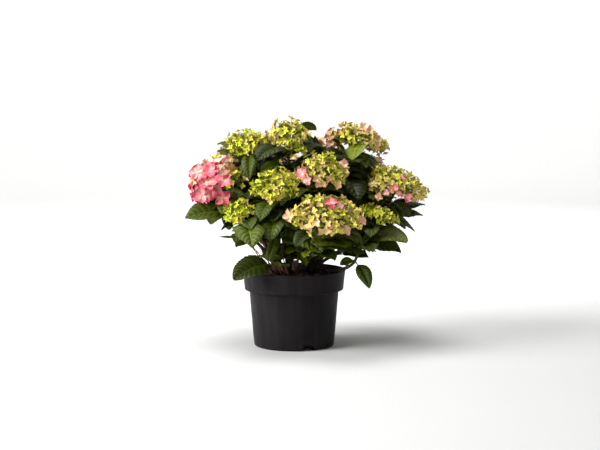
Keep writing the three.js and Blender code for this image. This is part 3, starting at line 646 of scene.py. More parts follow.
class Pile:
    """Faces of one kind gathered from many small shapes, to become one mesh."""

    def __init__(self):
        self.points, self.quads, self.tris, self.quad_tints, self.tri_tints = [], [], [], [], []
        self.count = 0

    def add(self, points, quads=(), tris=(), quad_tints=0, tri_tints=0):
        quads = np.asarray(quads, int).reshape(-1, 4)
        tris = np.asarray(tris, int).reshape(-1, 3)
        self.points.append(points)
        self.quads.append(quads + self.count)
        self.tris.append(tris + self.count)
        self.quad_tints.append(np.broadcast_to(quad_tints, len(quads)))
        self.tri_tints.append(np.broadcast_to(tri_tints, len(tris)))
        self.count += len(points)

    def build(self, name, materials, smooth=True):
        points = np.concatenate(self.points) * MM
        quads = np.concatenate(self.quads)
        tris = np.concatenate(self.tris)
        mesh = bpy.data.meshes.new(name)
        mesh.vertices.add(len(points))
        mesh.vertices.foreach_set("co", points.ravel())
        corners = np.concatenate([quads.ravel(), tris.ravel()])
        mesh.loops.add(len(corners))
        mesh.loops.foreach_set("vertex_index", corners)
        starts = np.concatenate([4 * np.arange(len(quads)), 4 * len(quads) + 3 * np.arange(len(tris))])
        mesh.polygons.add(len(starts))
        mesh.polygons.foreach_set("loop_start", starts)
        tints = np.concatenate(self.quad_tints + self.tri_tints).astype(int)
        mesh.polygons.foreach_set("material_index", tints)
        mesh.polygons.foreach_set("use_smooth", np.full(len(starts), smooth))
        for material in materials:
            mesh.materials.append(material)
        mesh.update(calc_edges=True)
        return new_object(name, mesh)


def grid_quads(rows, columns, wrap=False):
    """The quads of a grid of points, row by row, closed round in its columns where wrap is true."""
    i, j = np.meshgrid(np.arange(rows - 1), np.arange(columns if wrap else columns - 1), indexing="ij")
    k = (j + 1) % columns
    quads = np.stack([i * columns + j, i * columns + k, (i + 1) * columns + k, (i + 1) * columns + j], -1)
    return quads.reshape(-1, 4)


def fan(start, count, middle, under=False):
    """Triangles from a ring of points, counted from its start, to the point that closes it."""
    ring = np.arange(count)
    after = (ring + 1) % count
    edges = (after, ring) if under else (ring, after)
    return np.stack([start + edges[0], start + edges[1], np.full(count, middle)], -1)


def tube(pile, centres, radii, sides, tints=0, relief=None, cap=True):
    """A round limb along a run of points. relief is a share of the radius at each ring and side."""
    centres = np.asarray(centres, float)
    ways = unit(np.gradient(centres, axis=0))
    u, v = across(ways)
    turns = turns_round(sides)
    reach = np.asarray(radii, float)[:, None] * (1 if relief is None else 1 + relief)
    reach = np.broadcast_to(reach, (len(centres), sides))[..., None]
    outward = np.cos(turns)[None, :, None] * u[:, None] + np.sin(turns)[None, :, None] * v[:, None]
    points = (centres[:, None] + outward * reach).reshape(-1, 3)
    quads = grid_quads(len(centres), sides, wrap=True)
    quad_tints = np.repeat(tints, sides) if np.ndim(tints) else tints
    tris = []
    last = len(points)
    if cap:
        points = np.vstack([points, centres[0], centres[-1]])
        tris = np.vstack([fan(0, sides, last, under=True), fan(last - sides, sides, last + 1)])
    tri_tints = np.ravel(tints)[-1] if np.ndim(tints) else tints
    pile.add(points, quads, tris, quad_tints, tri_tints)


# Materials

NOISE_SPAN = (0.3, 0.7)


def linear(red, green, blue):
    """A colour given as 0 to 255 on a screen, as a material takes it."""
    shares = [c / 255 for c in (red, green, blue)]
    return tuple(s / 12.92 if s <= 0.04045 else ((s + 0.055) / 1.055) ** 2.4 for s in shares) + (1,)


class Finish:
    """A principled material and the nodes that give it its detail. Heights are outputs of such nodes."""

    def __init__(self, name, colour, roughness, **inputs):
        self.material = bpy.data.materials.new(name)
        self.material.use_nodes = True
        self.nodes = self.material.node_tree.nodes
        self.links = self.material.node_tree.links
        self.shader = self.nodes["Principled BSDF"]
        self.put(self.shader, Base_Color=linear(*colour), Roughness=roughness, **inputs)
        self.place = self.nodes.new("ShaderNodeTexCoord").outputs["Object"]
        self.normal = None

    def put(self, node, **inputs):
        """Sets inputs of a node, each to a value or to follow the output of another node."""
        for name, value in inputs.items():
            socket = node.inputs[name.replace("_", " ")]
            if isinstance(value, bpy.types.NodeSocket):
                self.links.new(value, socket)
            else:
                socket.default_value = value
        return node

    def add(self, kind, **inputs):
        return self.put(self.nodes.new(kind), **inputs)

    def noise(self, scale, detail, stretch=(1, 1, 1)):
        """Soft lumps, so many a metre, with so many finer layers. A low stretch draws them out."""
        place = self.add("ShaderNodeMapping", Vector=self.place, Scale=stretch).outputs["Vector"]
        return self.add("ShaderNodeTexNoise", Vector=place, Scale=scale, Detail=detail).outputs["Fac"]

    def cells(self, scale):
        """Flat cells with a groove between them, so many a metre."""
        node = self.add("ShaderNodeTexVoronoi", Vector=self.place, Scale=scale)
        node.feature = "DISTANCE_TO_EDGE"
        return node.outputs["Distance"]

    def bump(self, height, strength, distance):
        """Adds relief on top of what was there: its strength from 0 to 1, its depth in metres."""
        node = self.add("ShaderNodeBump", Height=height, Strength=strength, Distance=distance)
        if self.normal:
            self.put(node, Normal=self.normal)
        self.normal = node.outputs["Normal"]
        self.put(self.shader, Normal=self.normal)
        return self

    def rough_from(self, height, low, high):
        """Lets the roughness follow a height, from low to high."""
        node = self.add("ShaderNodeMapRange", Value=height, From_Min=NOISE_SPAN[0], From_Max=NOISE_SPAN[1],
                        To_Min=low, To_Max=high)
        self.put(self.shader, Roughness=node.outputs["Result"])

    def colour_from(self, height, stops):
        """Colours by height: stops are (place, colour) pairs."""
        node = self.add("ShaderNodeValToRGB", Fac=height)
        ramp = node.color_ramp
        while len(ramp.elements) < len(stops):
            ramp.elements.new(0.5)
        for element, (place, colour) in zip(ramp.elements, stops):
            element.position = place
            element.color = linear(*colour)
        self.put(self.shader, Base_Color=node.outputs["Color"])


# The gloss of leaves and of petals, and the roughness that their noise then takes over

LEAF_GLOSS = {"Specular_IOR_Level": 0.22, "Subsurface_Weight": 0.08, "Subsurface_Scale": 0.003,
              "Subsurface_Radius": (0.7, 1.0, 0.15)}
PETAL_GLOSS = {"Specular_IOR_Level": 0.3, "Subsurface_Weight": 0.25, "Subsurface_Scale": 0.004,
               "Subsurface_Radius": (1.0, 0.6, 0.4)}
MIDDLING = 0.5


def leaf_finish(name, colour, rough=(0.38, 0.54)):
    finish = Finish(name, colour, MIDDLING, **LEAF_GLOSS)
    finish.bump(finish.cells(420), 0.35, 0.0004).bump(finish.noise(1400, 2), 0.2, 0.0002)
    finish.rough_from(finish.noise(90, 3), *rough)
    return finish.material


def petal_finish(name, colour):
    finish = Finish(name, colour, MIDDLING, **PETAL_GLOSS)
    finish.bump(finish.noise(900, 3), 0.3, 0.0003)
    finish.rough_from(finish.noise(200, 3), 0.5, 0.75)
    return finish.material


# The blade and the veins of each green, and the petals from unripe to ripe

LEAF_GREENS = {
    # deep is painted shade: a near-black green for leaves low and inside the crown, where shade falls
    "deep": ((16, 21, 3), (28, 34, 8)),
    "dark": ((34, 42, 3), (64, 74, 16)),
    "mid": ((52, 64, 4), (94, 104, 26)),
    "fresh": ((62, 74, 8), (124, 136, 50)),
    # light is a pale green; on the low leaves at the front it is painted light against the shade of the
    # heads above them
    "light": ((100, 112, 14), (138, 148, 44)),
    "grey": ((76, 82, 26), (108, 114, 46)),
}
PETALS = [
    (174, 184, 24), (194, 196, 44), (200, 192, 64), (204, 188, 92), (215, 188, 122), (227, 175, 145),
    (238, 196, 172), (236, 176, 164), (228, 140, 141), (214, 94, 114),
]
GREENS = list(LEAF_GREENS)

leaf_materials = []
for green in GREENS:
    blade_colour, vein_colour = LEAF_GREENS[green]
    leaf_materials.append(leaf_finish(f"leaf_{green}", blade_colour))
    leaf_materials.append(leaf_finish(f"vein_{green}", vein_colour))
UNDER = len(leaf_materials)
leaf_materials.append(leaf_finish("leaf_under", (86, 96, 38), (0.6, 0.75)))
PETIOLE = len(leaf_materials)
leaf_materials.append(leaf_finish("petiole", (84, 96, 30), (0.4, 0.6)))

petal_materials = [petal_finish(f"petal_{i}", colour) for i, colour in enumerate(PETALS)]
EYE = len(petal_materials)
petal_materials.append(petal_finish("floret_eye", (196, 196, 110)))
# A darker green petal, painted shade for the unripe florets of a head's inner layer
INNER_SHADE = len(petal_materials)
petal_materials.append(petal_finish("petal_inner_shade", (130, 138, 28)))
STALK = len(petal_materials)
petal_materials.append(petal_finish("floret_stalk", (122, 132, 40)))


# Leaves

# The fine blade: heights and depths across it are shares of its length, or millimetres for its thickness

BLADE = Named(
    first=0.05, last=0.9, crowding=0.92, base_row=0.004, tip_row=0.985, end=0.975,
    vein_half=0.0065, vein_taper=0.6, forward=0.22, forward_power=1.25, tooth=0.05,
    tooth_up=0.012, drip=0.1, drip_from=0.78, broad=1.14, blunt=0.7, quilt=0.02,
    quilt_span=0.86, quilt_range=(0.7, 1.3), crown=0.05, hollow=0.06, wave=0.02,
    waves=(9, 14), wave_shift=1.3, thick=0.35, thin=0.12, thin_from=0.9, rib=1.3,
    rib_taper=1.15,
)
PETIOLE_SHAPE = Named(radii=[2.2, 1.6, 1.35, 1.25, 1.2], sides=6, sag=0.02, full_at=90,
                      least=0.6, sunk=0.6)

# Where across a blade the edge of its rib is, how far in a notch between two teeth goes, as a share of a
# tooth, the length from which a blade is a fine one, and where its margin begins

RIB_T = 0.03
NOTCH = -0.4
FINE_FROM = 52
ALMOST_ALL = 0.999


class BladePattern:
    """Where the points of a blade lie, row by row along its veins, the same for every leaf."""

    def __init__(self, veins, side_columns, fills):
        spots = np.arange(veins) / (veins - 1)
        spots = BLADE.first + (BLADE.last - BLADE.first) * spots ** BLADE.crowding
        rows = [(BLADE.base_row, 0, 0, 0)]
        for k, spot in enumerate(spots):
            after = spots[k + 1] if k + 1 < veins else BLADE.end
            rows.append((spot, -1, 0, 1))
            rows.append((spot, 1, 0, NOTCH))
            rows += [(spot + (after - spot) * share, 0, share, tooth) for share, tooth in fills]
        rows.append((BLADE.tip_row, 0, 0, 0))
        spot, edge, phase, tooth = (np.array(column)[:, None] for column in zip(*rows))
        side_columns = np.array(side_columns)
        t = np.concatenate([-side_columns[:0:-1], side_columns])[None, :]
        away = np.abs(t)
        margin = away > ALMOST_ALL
        s = spot + edge * BLADE.vein_half * (1 - BLADE.vein_taper * away)
        up = s + BLADE.forward * np.sin(np.pi * np.clip(s, 0, 1)) * away ** BLADE.forward_power
        self.up = np.clip(up + margin * np.where(tooth > 0, BLADE.tooth_up, 0), 0, 1.0)
        narrow = 1 - BLADE.drip * smooth_step(BLADE.drip_from, 1, self.up)
        self.sideways = BLADE.broad * t * narrow * (1 + margin * tooth * BLADE.tooth)
        self.quilt = np.sin(np.pi * phase) * np.sin(np.pi * np.minimum(away, 1) * BLADE.quilt_span)
        self.away = away * np.ones_like(self.up)
        self.rows, self.columns = self.up.shape
        self.middle = (self.columns - 1) // 2
        self.quads = grid_quads(self.rows, self.columns)
        vein_row = ((edge[:-1] < 0) & (edge[1:] > 0)).ravel()
        column = np.tile(np.arange(self.columns - 1), self.rows - 1)
        in_vein_row = np.repeat(vein_row, self.columns - 1)
        in_rib = (column == self.middle) | (column == self.middle - 1)
        self.is_vein = in_rib | (in_vein_row & (column > 0) & (column < self.columns - 2))
        between = (self.middle - 1) // 2 + 1
        near_rib = {self.middle - 1, self.middle, self.middle + 1}
        self.under = sorted({0, between, self.columns - 1 - between, self.columns - 1} | near_rib)


FINE = BladePattern(8, [0, RIB_T, 0.24, 0.46, 0.68, 0.86, 1],
                    [(0.24, 0.4), (0.46, 1), (0.54, NOTCH), (0.78, 0.4)])
PLAIN = BladePattern(6, [0, RIB_T * 1.6, 0.4, 0.75, 1], [(0.44, 1), (0.56, NOTCH)])


def blade_points(leaf, up, sideways):
    """Points on a smooth blade, and the direction up from its face at each."""
    pitch = leaf["pitch"] - leaf["droop"] * up
    run = leaf["long"] * (math.sin(leaf["pitch"]) - np.sin(pitch)) / leaf["droop"]
    rise = leaf["long"] * (np.cos(pitch) - math.cos(leaf["pitch"])) / leaf["droop"]
    start = leaf["from"] + pointing(leaf["heading"], leaf["pitch"]) * leaf["long"] * LEAF.petiole
    level = vec(math.cos(leaf["heading"]), math.sin(leaf["heading"]), 0)
    at = start + run[..., None] * level + rise[..., None] * vec(0, 0, 1)
    side, top = blade_sides(leaf["heading"], pitch, leaf["roll"])
    wide = leaf["long"] * LEAF.width_share * leaf.get("wide", 1)
    half = sideways * 0.5 * wide * leaf_outline(up, BLADE.blunt)
    fold = leaf.get("fold", LEAF.fold)
    out = at + side * (half * math.cos(fold))[..., None]
    return out + top * (np.abs(half) * math.sin(fold))[..., None], top


def add_leaf(pile, leaf, random):
    """A blade with sunken veins, quilted between them, toothed, with its underside and petiole."""
    pattern = FINE if leaf["long"] > FINE_FROM and not leaf.get("side") else PLAIN
    long = leaf["long"]
    up, away, middle = pattern.up, pattern.away, pattern.middle
    points, top = blade_points(leaf, up, pattern.sideways)
    waves = np.sin(up * random.uniform(*BLADE.waves) + random.uniform(*WAVE_START)
                   + BLADE.wave_shift * np.sign(pattern.sideways))
    height = long * BLADE.quilt * random.uniform(*BLADE.quilt_range) * pattern.quilt
    height += long * BLADE.crown * np.sin(np.pi * away) * leaf_outline(up)
    height -= long * random.uniform(0.0, BLADE.hollow) * away**2 * leaf_outline(up)
    height += long * BLADE.wave * waves * away**2
    upper = points + top * height[..., None]
    pile.add(upper.reshape(-1, 3), pattern.quads,
             quad_tints=2 * GREENS.index(leaf["green"]) + pattern.is_vein)
    drop = np.where(away > BLADE.thin_from, BLADE.thin, BLADE.thick)
    drop = np.where(away < RIB_T * 0.5, BLADE.rib * (BLADE.rib_taper - up), drop)
    lower = upper - top * drop[..., None]
    under = grid_quads(pattern.rows, len(pattern.under))[:, ::-1]
    pile.add(lower[:, pattern.under].reshape(-1, 3), under, quad_tints=UNDER)
    shape = PETIOLE_SHAPE
    begin = leaf["from"]
    end = upper[1, middle] - top[1, middle] * shape.sunk
    shares = np.linspace(0, 1, len(shape.radii))[:, None]
    sag = np.sin(np.pi * shares) * vec(0, 0, -shape.sag * long)
    radii = np.array(shape.radii) * (shape.least + (1 - shape.least) * min(1, long / shape.full_at))
    tube(pile, begin + (end - begin) * shares + sag, radii, shape.sides, PETIOLE)


# Florets

# The shape of a floret's sepals at each stage, and into how many steps each sepal is cut

STAGE_TERMS = "lift uneven long wide widest blunt round curl trough wave detail".split()
STAGES = {
    "young": ((0.15, 0.95), 0.35, (0.8, 1.12), (0.27, 0.37), 0.82, 0.9, 0.0, 0.35, 0.2, 0.03, 4),
    "opening": ((0.05, 0.75), 0.32, (0.82, 1.1), (0.3, 0.41), 0.78, 0.8, 0.02, 0.35, 0.2, 0.05, 4),
    "single": ((0.0, 0.45), 0.3, (0.85, 1.1), (0.38, 0.5), 0.72, 0.66, 0.04, 0.3, 0.24, 0.08, 6),
    "open": ((-0.05, 0.35), 0.2, (0.88, 1.06), (0.48, 0.6), 0.64, 0.52, 0.12, 0.22, 0.2, 0.1, 7),
}
SEPAL = Named(
    count=4, root=0.05, shorter=0.93, least=0.1, curls=(0.3, 1.4), trough_level=0.4, waves=(3, 5),
    twist=0.25, twist_in=0.4, turn=0.16, over=0.03, ring_shares=(0.75, 0.25),
)


class FloretPattern:
    """A floret a unit across its radius: four sepals round an eye, as points, quads and their rings."""

    def __init__(self, random, stage):
        detail = stage.detail
        rows = SEPAL.root + (1 - SEPAL.root) * np.linspace(0, 1, detail + 1)
        a, b = np.meshgrid(rows, np.linspace(-1, 1, detail + 1), indexing="ij")
        lift = random.uniform(*stage.lift)
        points = []
        for k in range(SEPAL.count):
            long = random.uniform(*stage.long) * (1 if k % 2 else SEPAL.shorter)
            wide = random.uniform(*stage.wide)
            belly = np.sin(np.pi * np.minimum(a, ALMOST_ALL) ** stage.widest) ** stage.blunt
            half = wide * np.maximum(belly, SEPAL.least * (1 - a))
            x = long * a * (1 - stage.round * b * b * a)
            y = half * b
            rise = lift + random.uniform(-1, 1) * stage.uneven
            z = rise * a - stage.curl * random.uniform(*SEPAL.curls) * a * a * a
            z += stage.trough * (b * b - SEPAL.trough_level) * np.sin(np.pi * a)
            z += stage.wave * np.sin(random.uniform(*SEPAL.waves) * b + random.uniform(*WAVE_START)) * a
            twist = random.uniform(-SEPAL.twist, SEPAL.twist) * a
            y, z = y * np.cos(twist) - SEPAL.twist_in * y * np.sin(twist), z + y * np.sin(twist)
            turn = k * 2 * np.pi / SEPAL.count + random.uniform(-SEPAL.turn, SEPAL.turn)
            z = z + SEPAL.over * (k % 2)
            points.append(np.stack([x * math.cos(turn) - y * math.sin(turn),
                                    x * math.sin(turn) + y * math.cos(turn), z], -1).reshape(-1, 3))
        quads = grid_quads(detail + 1, detail + 1)
        self.points = np.vstack(points)
        self.quads = np.vstack([quads + k * (detail + 1) ** 2 for k in range(SEPAL.count)])
        middles = (np.arange(detail) + 0.5) / detail
        ring = np.repeat(middles, detail)
        edge = np.tile(np.abs(middles * 2 - 1), detail)
        ring_share, edge_share = SEPAL.ring_shares
        self.ring = np.tile(ring * ring_share + edge * edge_share, SEPAL.count)
        self.sepal = np.repeat(np.arange(SEPAL.count), len(quads))


PATTERN_RANDOM = np.random.default_rng(41)
PATTERN_COUNT = 16
PATTERNS = {}
for name, terms in STAGES.items():
    stage = Named(**dict(zip(STAGE_TERMS, terms)))
    PATTERNS[name] = [FloretPattern(PATTERN_RANDOM, stage) for _ in range(PATTERN_COUNT)]
EYE_POINTS = np.array([[1, 0, 0], [0, 1, 0], [-1, 0, 0], [0, -1, 0], [0, 0, 1], [0, 0, -1]], float)
EYE_TRIS = [[0, 1, 4], [1, 2, 4], [2, 3, 4], [3, 0, 4], [1, 0, 5], [2, 1, 5], [3, 2, 5], [0, 3, 5]]

# How ripe a floret is, from 0 to 9, says its stage, its width across, its colour among PETALS and how
# many of those colours lie between its eye and its edge.

OPENING_AT = 2.4
OPEN_AT = 6.2
RIPEST = 9
FLORET_SIZES = (range(RIPEST + 1), [12.5, 13.5, 15, 16.5, 18, 20, 23, 34, 39, 39])
EDGE_STEPS = ([0, 1.5, 3, 5, 6, 9], [1.4, 2.8, 3.6, 3.0, 3.0, 2.8])
FLORET = Named(sepal_tint=0.6, face_tint=0.25, open_least=5.6, closed_most=5.4, eye=0.07,
               eye_least=0.4, eye_up=0.25, stalk_under=0.4)


def add_floret(pile, at, way, ripe, width, random, stage=None, inner=False):
    stage = stage or ("young" if ripe < OPENING_AT else "opening" if ripe < OPEN_AT else "open")
    pattern = PATTERNS[stage][random.integers(PATTERN_COUNT)]
    radius = width / 2
    turned = stood(pattern.points, way, random.uniform(0, np.pi))
    value = ripe + random.uniform(-FLORET.sepal_tint, FLORET.sepal_tint, SEPAL.count)[pattern.sepal]
    value += random.uniform(-FLORET.face_tint, FLORET.face_tint, len(pattern.quads))
    value += (pattern.ring - 0.5) * np.interp(ripe, *EDGE_STEPS)
    if stage == "open":
        value = np.maximum(value, FLORET.open_least)
    elif stage != "single":
        value = np.minimum(value, FLORET.closed_most)
    tints = np.clip(np.round(value), 0, len(PETALS) - 1)
    pile.add(at + turned * radius, pattern.quads, quad_tints=INNER_SHADE if inner else tints)
    eye = FLORET.eye * radius + FLORET.eye_least
    pile.add(at + way * FLORET.eye_up * eye + EYE_POINTS * eye, tris=EYE_TRIS, tri_tints=EYE)


# How florets lie on a head. Spacing, sinking and reach are shares of a floret's width or of the dome.

HEAD = Named(
    tries=1500, span=1.5, ray_every=3.6, least_rays=6, ray_span=1.25, ray_start=0.4,
    ray_scatter=0.16, ray_ripe=0.6, ray_reach=(0.93, 1.06), floret_ripe=0.55, rim_power=1.5,
    sizes=(0.82, 1.18), sunk=0.2, below=0.8, spacing=(0.33, 0.25), spacing_ripe=(3, 7),
    dropped=0.13, valley=0.26, valley_span=(0.1, 0.55), inner=0.66, inner_spacing=(0.38, 0.38),
    shake=(0.88, 1.07), tilt=([2, 6, 7], [0.6, 0.45, 0.2]), upward=0.12, knot=0.45,
    lobe_ripe=(0.3, 0, (1, 0, 0)),
)

# Radii of the stalks along their length, and how a listed single floret faces

STALKS = Named(
    ray=[1.7, 1.2, 0.9], ray_sides=5, ray_bend=0.1, floret=[0.8, 0.55, 0.6], floret_bend=0.12,
    single=[0.8, 0.6, 0.6], sides=3,
)
SINGLE_WAY = (0, -0.7, 0.25)
SINGLE_SCATTER = 0.1


def dome_aims(count, span, start):
    """Directions spread by the golden angle from the top of a dome to below its rim."""
    i = np.arange(count)
    height = 1 - (i + 0.5) / count * span
    flat = np.sqrt(np.maximum(0, 1 - height**2))
    turn = i * GOLDEN_TURN + start
    return np.stack([flat * np.cos(turn), flat * np.sin(turn), height], -1)


def ray_knot(shoot, dome, ray):
    """Where a ray of a head forks into the stalks of its florets."""
    middle, wide, tall, _ = dome
    u, v = across(shoot.axis)
    return middle + (u * ray[0] * wide + v * ray[1] * wide + shoot.axis * ray[2] * tall) * HEAD.knot


def add_single(pile, shoot, at, ripe, width, random):
    """A listed single floret, which faces out and a little to the front, on its own stalk."""
    way = unit(unit(at - shoot.head) + vec(*SINGLE_WAY) + random.normal(0, SINGLE_SCATTER, 3))
    add_floret(pile, at, way, ripe, width, random, "single" if ripe > OPEN_AT else None)
    run = [shoot.head, (shoot.head + at) / 2, at - way * FLORET.stalk_under]
    tube(pile, run, STALKS.single, STALKS.sides, STALK, cap=False)


def add_layer(pile, shoot, dome, rays, depth, spacing, kept, random):
    """Florets over a dome at a share of its size, kept apart by a share of their widths."""
    middle, wide, tall, (ripe_middle, ripe_rim, ripe_along, direction) = dome
    direction = unit(vec(*direction))
    u, v = across(shoot.axis)
    ray_ripe = random.normal(0, HEAD.ray_ripe, len(rays))
    ray_reach = random.uniform(*HEAD.ray_reach, len(rays))
    aims = dome_aims(HEAD.tries, HEAD.span, 0)
    nearest_ray = np.argmax(aims @ rays.T, axis=1)
    between = smooth_step(*HEAD.valley_span, np.arccos(np.clip((aims @ rays.T).max(1), -1, 1)))
    places = np.array([at for at, _ in kept]).reshape(-1, 3)
    widths = np.array([width for _, width in kept])
    for aim, k, apart in zip(aims, nearest_ray, between):
        rim = 1 - max(0.0, aim[2])
        outward = u * aim[0] + v * aim[1] + shoot.axis * aim[2]
        ripe = ripe_middle + ripe_rim * rim ** HEAD.rim_power + ripe_along * float(outward @ direction)
        ripe = float(np.clip(ripe + ray_ripe[k] + random.normal(0, HEAD.floret_ripe), 0, RIPEST))
        width = np.interp(ripe, *FLORET_SIZES) * random.uniform(*HEAD.sizes)
        high = depth * ray_reach[k] * (1 - HEAD.valley * apart) * random.uniform(*HEAD.shake)
        rise = aim[2] * (HEAD.below if aim[2] < 0 else 1)
        reach = (wide - HEAD.sunk * width) * high
        top = (tall - HEAD.sunk * width) * high
        at = middle + (u * aim[0] + v * aim[1]) * reach + shoot.axis * rise * top
        share = np.interp(ripe, HEAD.spacing_ripe, spacing)
        if (np.linalg.norm(places - at, axis=1) < share * (widths + width)).any():
            continue
        places = np.vstack([places, at])
        widths = np.append(widths, width)
        if random.uniform() < HEAD.dropped * apart:
            continue
        tilt = random.normal(0, np.interp(ripe, *HEAD.tilt), 3)
        way = unit(outward + tilt + vec(0, 0, HEAD.upward))
        # Unripe florets of the inner layer take the darker inner petal, painted shade for the shade inside
        # the head.
        add_floret(pile, at, way, ripe, width, random, inner=depth < 1 and ripe < OPEN_AT)
        knot = ray_knot(shoot, dome, rays[k])
        bend = (knot + at) / 2 - way * STALKS.floret_bend * width
        run = [knot, bend, at - way * FLORET.stalk_under]
        tube(pile, run, STALKS.floret, STALKS.sides, STALK, cap=False)


def add_head(pile, shoot, random):
    """A mophead: florets on a lumpy dome, each on its stalk from the nearest of a few rays, two deep."""
    aside, wide_share, tall_share = FINE_DOMES.get(shoot.name, ((0, 0, 0), 1, 1))
    domes = [(shoot.head + vec(*aside), shoot.wide * wide_share, shoot.tall * tall_share, shoot.ripeness)]
    if shoot.name in LOBES:
        lobe_at = shoot.head + vec(*LOBES[shoot.name]) + vec(*aside)
        domes.append((lobe_at, LOBE_SIZE * shoot.wide, LOBE_SIZE * shoot.tall, shoot.ripeness))
    for offset, wide, tall, ripe in FINE_LOBES.get(shoot.name, []):
        domes.append((shoot.head + vec(*offset), wide, tall, (ripe, *HEAD.lobe_ripe)))
    singles = [(vec(*at), ripe, width) for at, ripe, width in SINGLES.get(shoot.name, [])]
    for single in singles:
        add_single(pile, shoot, *single, random)
    kept = [(at, width) for at, _, width in singles]
    foot = shoot.head - shoot.axis * NECK * shoot.tall
    for dome in domes:
        _, wide, tall, _ = dome
        count = max(HEAD.least_rays, int(wide / HEAD.ray_every))
        rays = dome_aims(count, HEAD.ray_span, HEAD.ray_start)
        rays = unit(rays + random.normal(0, HEAD.ray_scatter, rays.shape))
        add_layer(pile, shoot, dome, rays, 1, HEAD.spacing, kept, random)
        add_layer(pile, shoot, dome, rays, HEAD.inner, HEAD.inner_spacing, [], random)
        for ray in rays:
            knot = ray_knot(shoot, dome, ray)
            bend = (foot + knot) / 2 + shoot.axis * STALKS.ray_bend * tall
            tube(pile, [foot, bend, knot], STALKS.ray, STALKS.ray_sides, STALK, cap=False)


# Canes, twigs and stub

# How each is cut into rings and sides, where it swells, its ridges and how rough it is

CANE_FORM = Named(
    rings=90, sides=12, node_swell=0.3, node_long=2.6, foot_swell=0.35, foot_long=5,
    ridges=(2, 3, 5), wind=0.03, woody=(0.25, 0.55), ridge_share=0.5, rough=0.035,
    green_from=0.42,
)
STUB_FORM = Named(rings=26, sides=48, ridges=(2, 3, 5, 8, 13), rough=0.015)
RIDGE_DEEP = (0.02, 0.05)
TWIG_FORM = Named(rings=9, sides=7, radii=(1.5, 0.5), bow=5, shake=0.5, spurs=(3, 5, 6, 7),
                  spur_turn=26, spur_long=(7, 18), spur_radii=[0.7, 0.55, 0.35], spur_sides=5,
                  spur_rise=0.6)
TWIG_TINT = 2

# Thin dry twigs that fan out over the left of the pot: where each leaves the compost and where it ends.

TWIGS = [
    ((-34, -48), (-79, -62, 196)), ((-28, -54), (-62, -74, 198)), ((-22, -58), (-50, -66, 200)),
    ((-34, -42), (-84, -46, 200)), ((-16, -60), (-34, -76, 196)), ((-10, -62), (-22, -84, 190)),
    ((-26, -44), (-66, -44, 206)), ((-24, -52), (-56, -84, 188)),
]


def grained_finish(name, colour, roughness, grain, stops):
    """A finish whose colours follow a grain along Z, given as its scale, detail and share along Z."""
    finish = Finish(name, colour, roughness)
    scale, detail, along = grain
    height = finish.noise(scale, detail, (1, 1, along))
    finish.colour_from(height, stops)
    return finish, height


def cane_materials():
    # The bark's browns are partly the bark's own and partly painted shade, darkened for the shade that the
    # crown casts over the canes.
    bark, grain = grained_finish("cane_bark", (120, 92, 58), 0.85, (260, 5, 0.12),
                                 [(0.3, (18, 10, 6)), (0.5, (38, 23, 13)), (0.72, (72, 47, 27))])
    bark.bump(grain, 0.7, 0.001).bump(bark.noise(900, 3), 0.3, 0.0003)
    green, _ = grained_finish("green_stem", (96, 108, 44), 0.5, (120, 4, 0.3),
                              [(0.3, (34, 40, 10)), (0.55, (52, 60, 18)), (0.75, (70, 46, 26))])
    green.bump(green.noise(800, 3, (1, 1, 0.2)), 0.4, 0.0004)
    twig, grain = grained_finish("dry_twig", (112, 76, 44), 0.8, (300, 4, 0.2),
                                 [(0.3, (70, 42, 22)), (0.5, (112, 74, 40)), (0.72, (150, 108, 64))])
    twig.bump(grain, 0.5, 0.0004)
    return [bark.material, green.material, twig.material]


def stub_material():
    stub, grain = grained_finish("stub_bark", (108, 78, 54), 0.9, (150, 6, 0.25),
                                 [(0.3, (58, 40, 28)), (0.55, (112, 82, 56)), (0.75, (150, 122, 88))])
    stub.bump(grain, 0.9, 0.002)
    return stub.material


def ridges(random, turns, along, counts, wind=None):
    """Ridges round a limb as shares of its radius, which wind a little along it."""
    waves = []
    for count in counts:
        deep = random.uniform(*RIDGE_DEEP)
        phase = random.uniform(*WAVE_START)
        winding = random.uniform(-wind, wind) if wind else 1
        waves.append(deep * np.sin(count * turns[None] + phase + along[:, None] * winding))
    return sum(waves)


def add_cane(pile, shoot, random):
    """A stem from the compost to its head, woody at the foot, ridged and swollen at its nodes."""
    form = CANE_FORM
    distances = np.linspace(0, shoot.path.length, form.rings)
    centres = np.array([shoot.path.at(d)[0] for d in distances])
    share = distances / shoot.path.length
    radii = CANE.foot_r + (CANE.tip_r - CANE.foot_r) * share
    for node in shoot.nodes:
        radii = radii * (1 + form.node_swell * np.exp(-(((distances - node) / form.node_long) ** 2)))
    radii = radii * (1 + form.foot_swell * np.exp(-distances / form.foot_long))
    ridge = ridges(random, turns_round(form.sides), distances, form.ridges, form.wind)
    woody = (1 - smooth_step(*form.woody, share))[:, None]
    rough = random.normal(0, form.rough, (len(distances), form.sides)) * woody
    tints = (share[:-1] > form.green_from).astype(int)
    tube(pile, centres, radii, form.sides, tints, ridge * (form.ridge_share + woody) + rough)


def add_twig(pile, foot, tip, random):
    """A bare twig with a kink at each node and a few short spurs."""
    form = TWIG_FORM
    foot = vec(*foot, SOIL_TOP_Z + GAP)
    tip = vec(*tip)
    shares = np.linspace(0, 1, form.rings)[:, None]
    bow = vec(*random.uniform(-form.bow, form.bow, 2), 0) * np.sin(np.pi * shares)
    centres = foot + (tip - foot) * shares + bow + random.normal(0, form.shake, (form.rings, 3))
    tube(pile, centres, np.linspace(*form.radii, form.rings), form.sides, TWIG_TINT)
    for k in form.spurs:
        way = unit(tip - foot + random.normal(0, form.spur_turn, 3))
        end = centres[k] + way * random.uniform(*form.spur_long)
        run = [centres[k], (centres[k] + end) / 2 + vec(0, 0, form.spur_rise), end]
        tube(pile, run, form.spur_radii, form.spur_sides, TWIG_TINT)


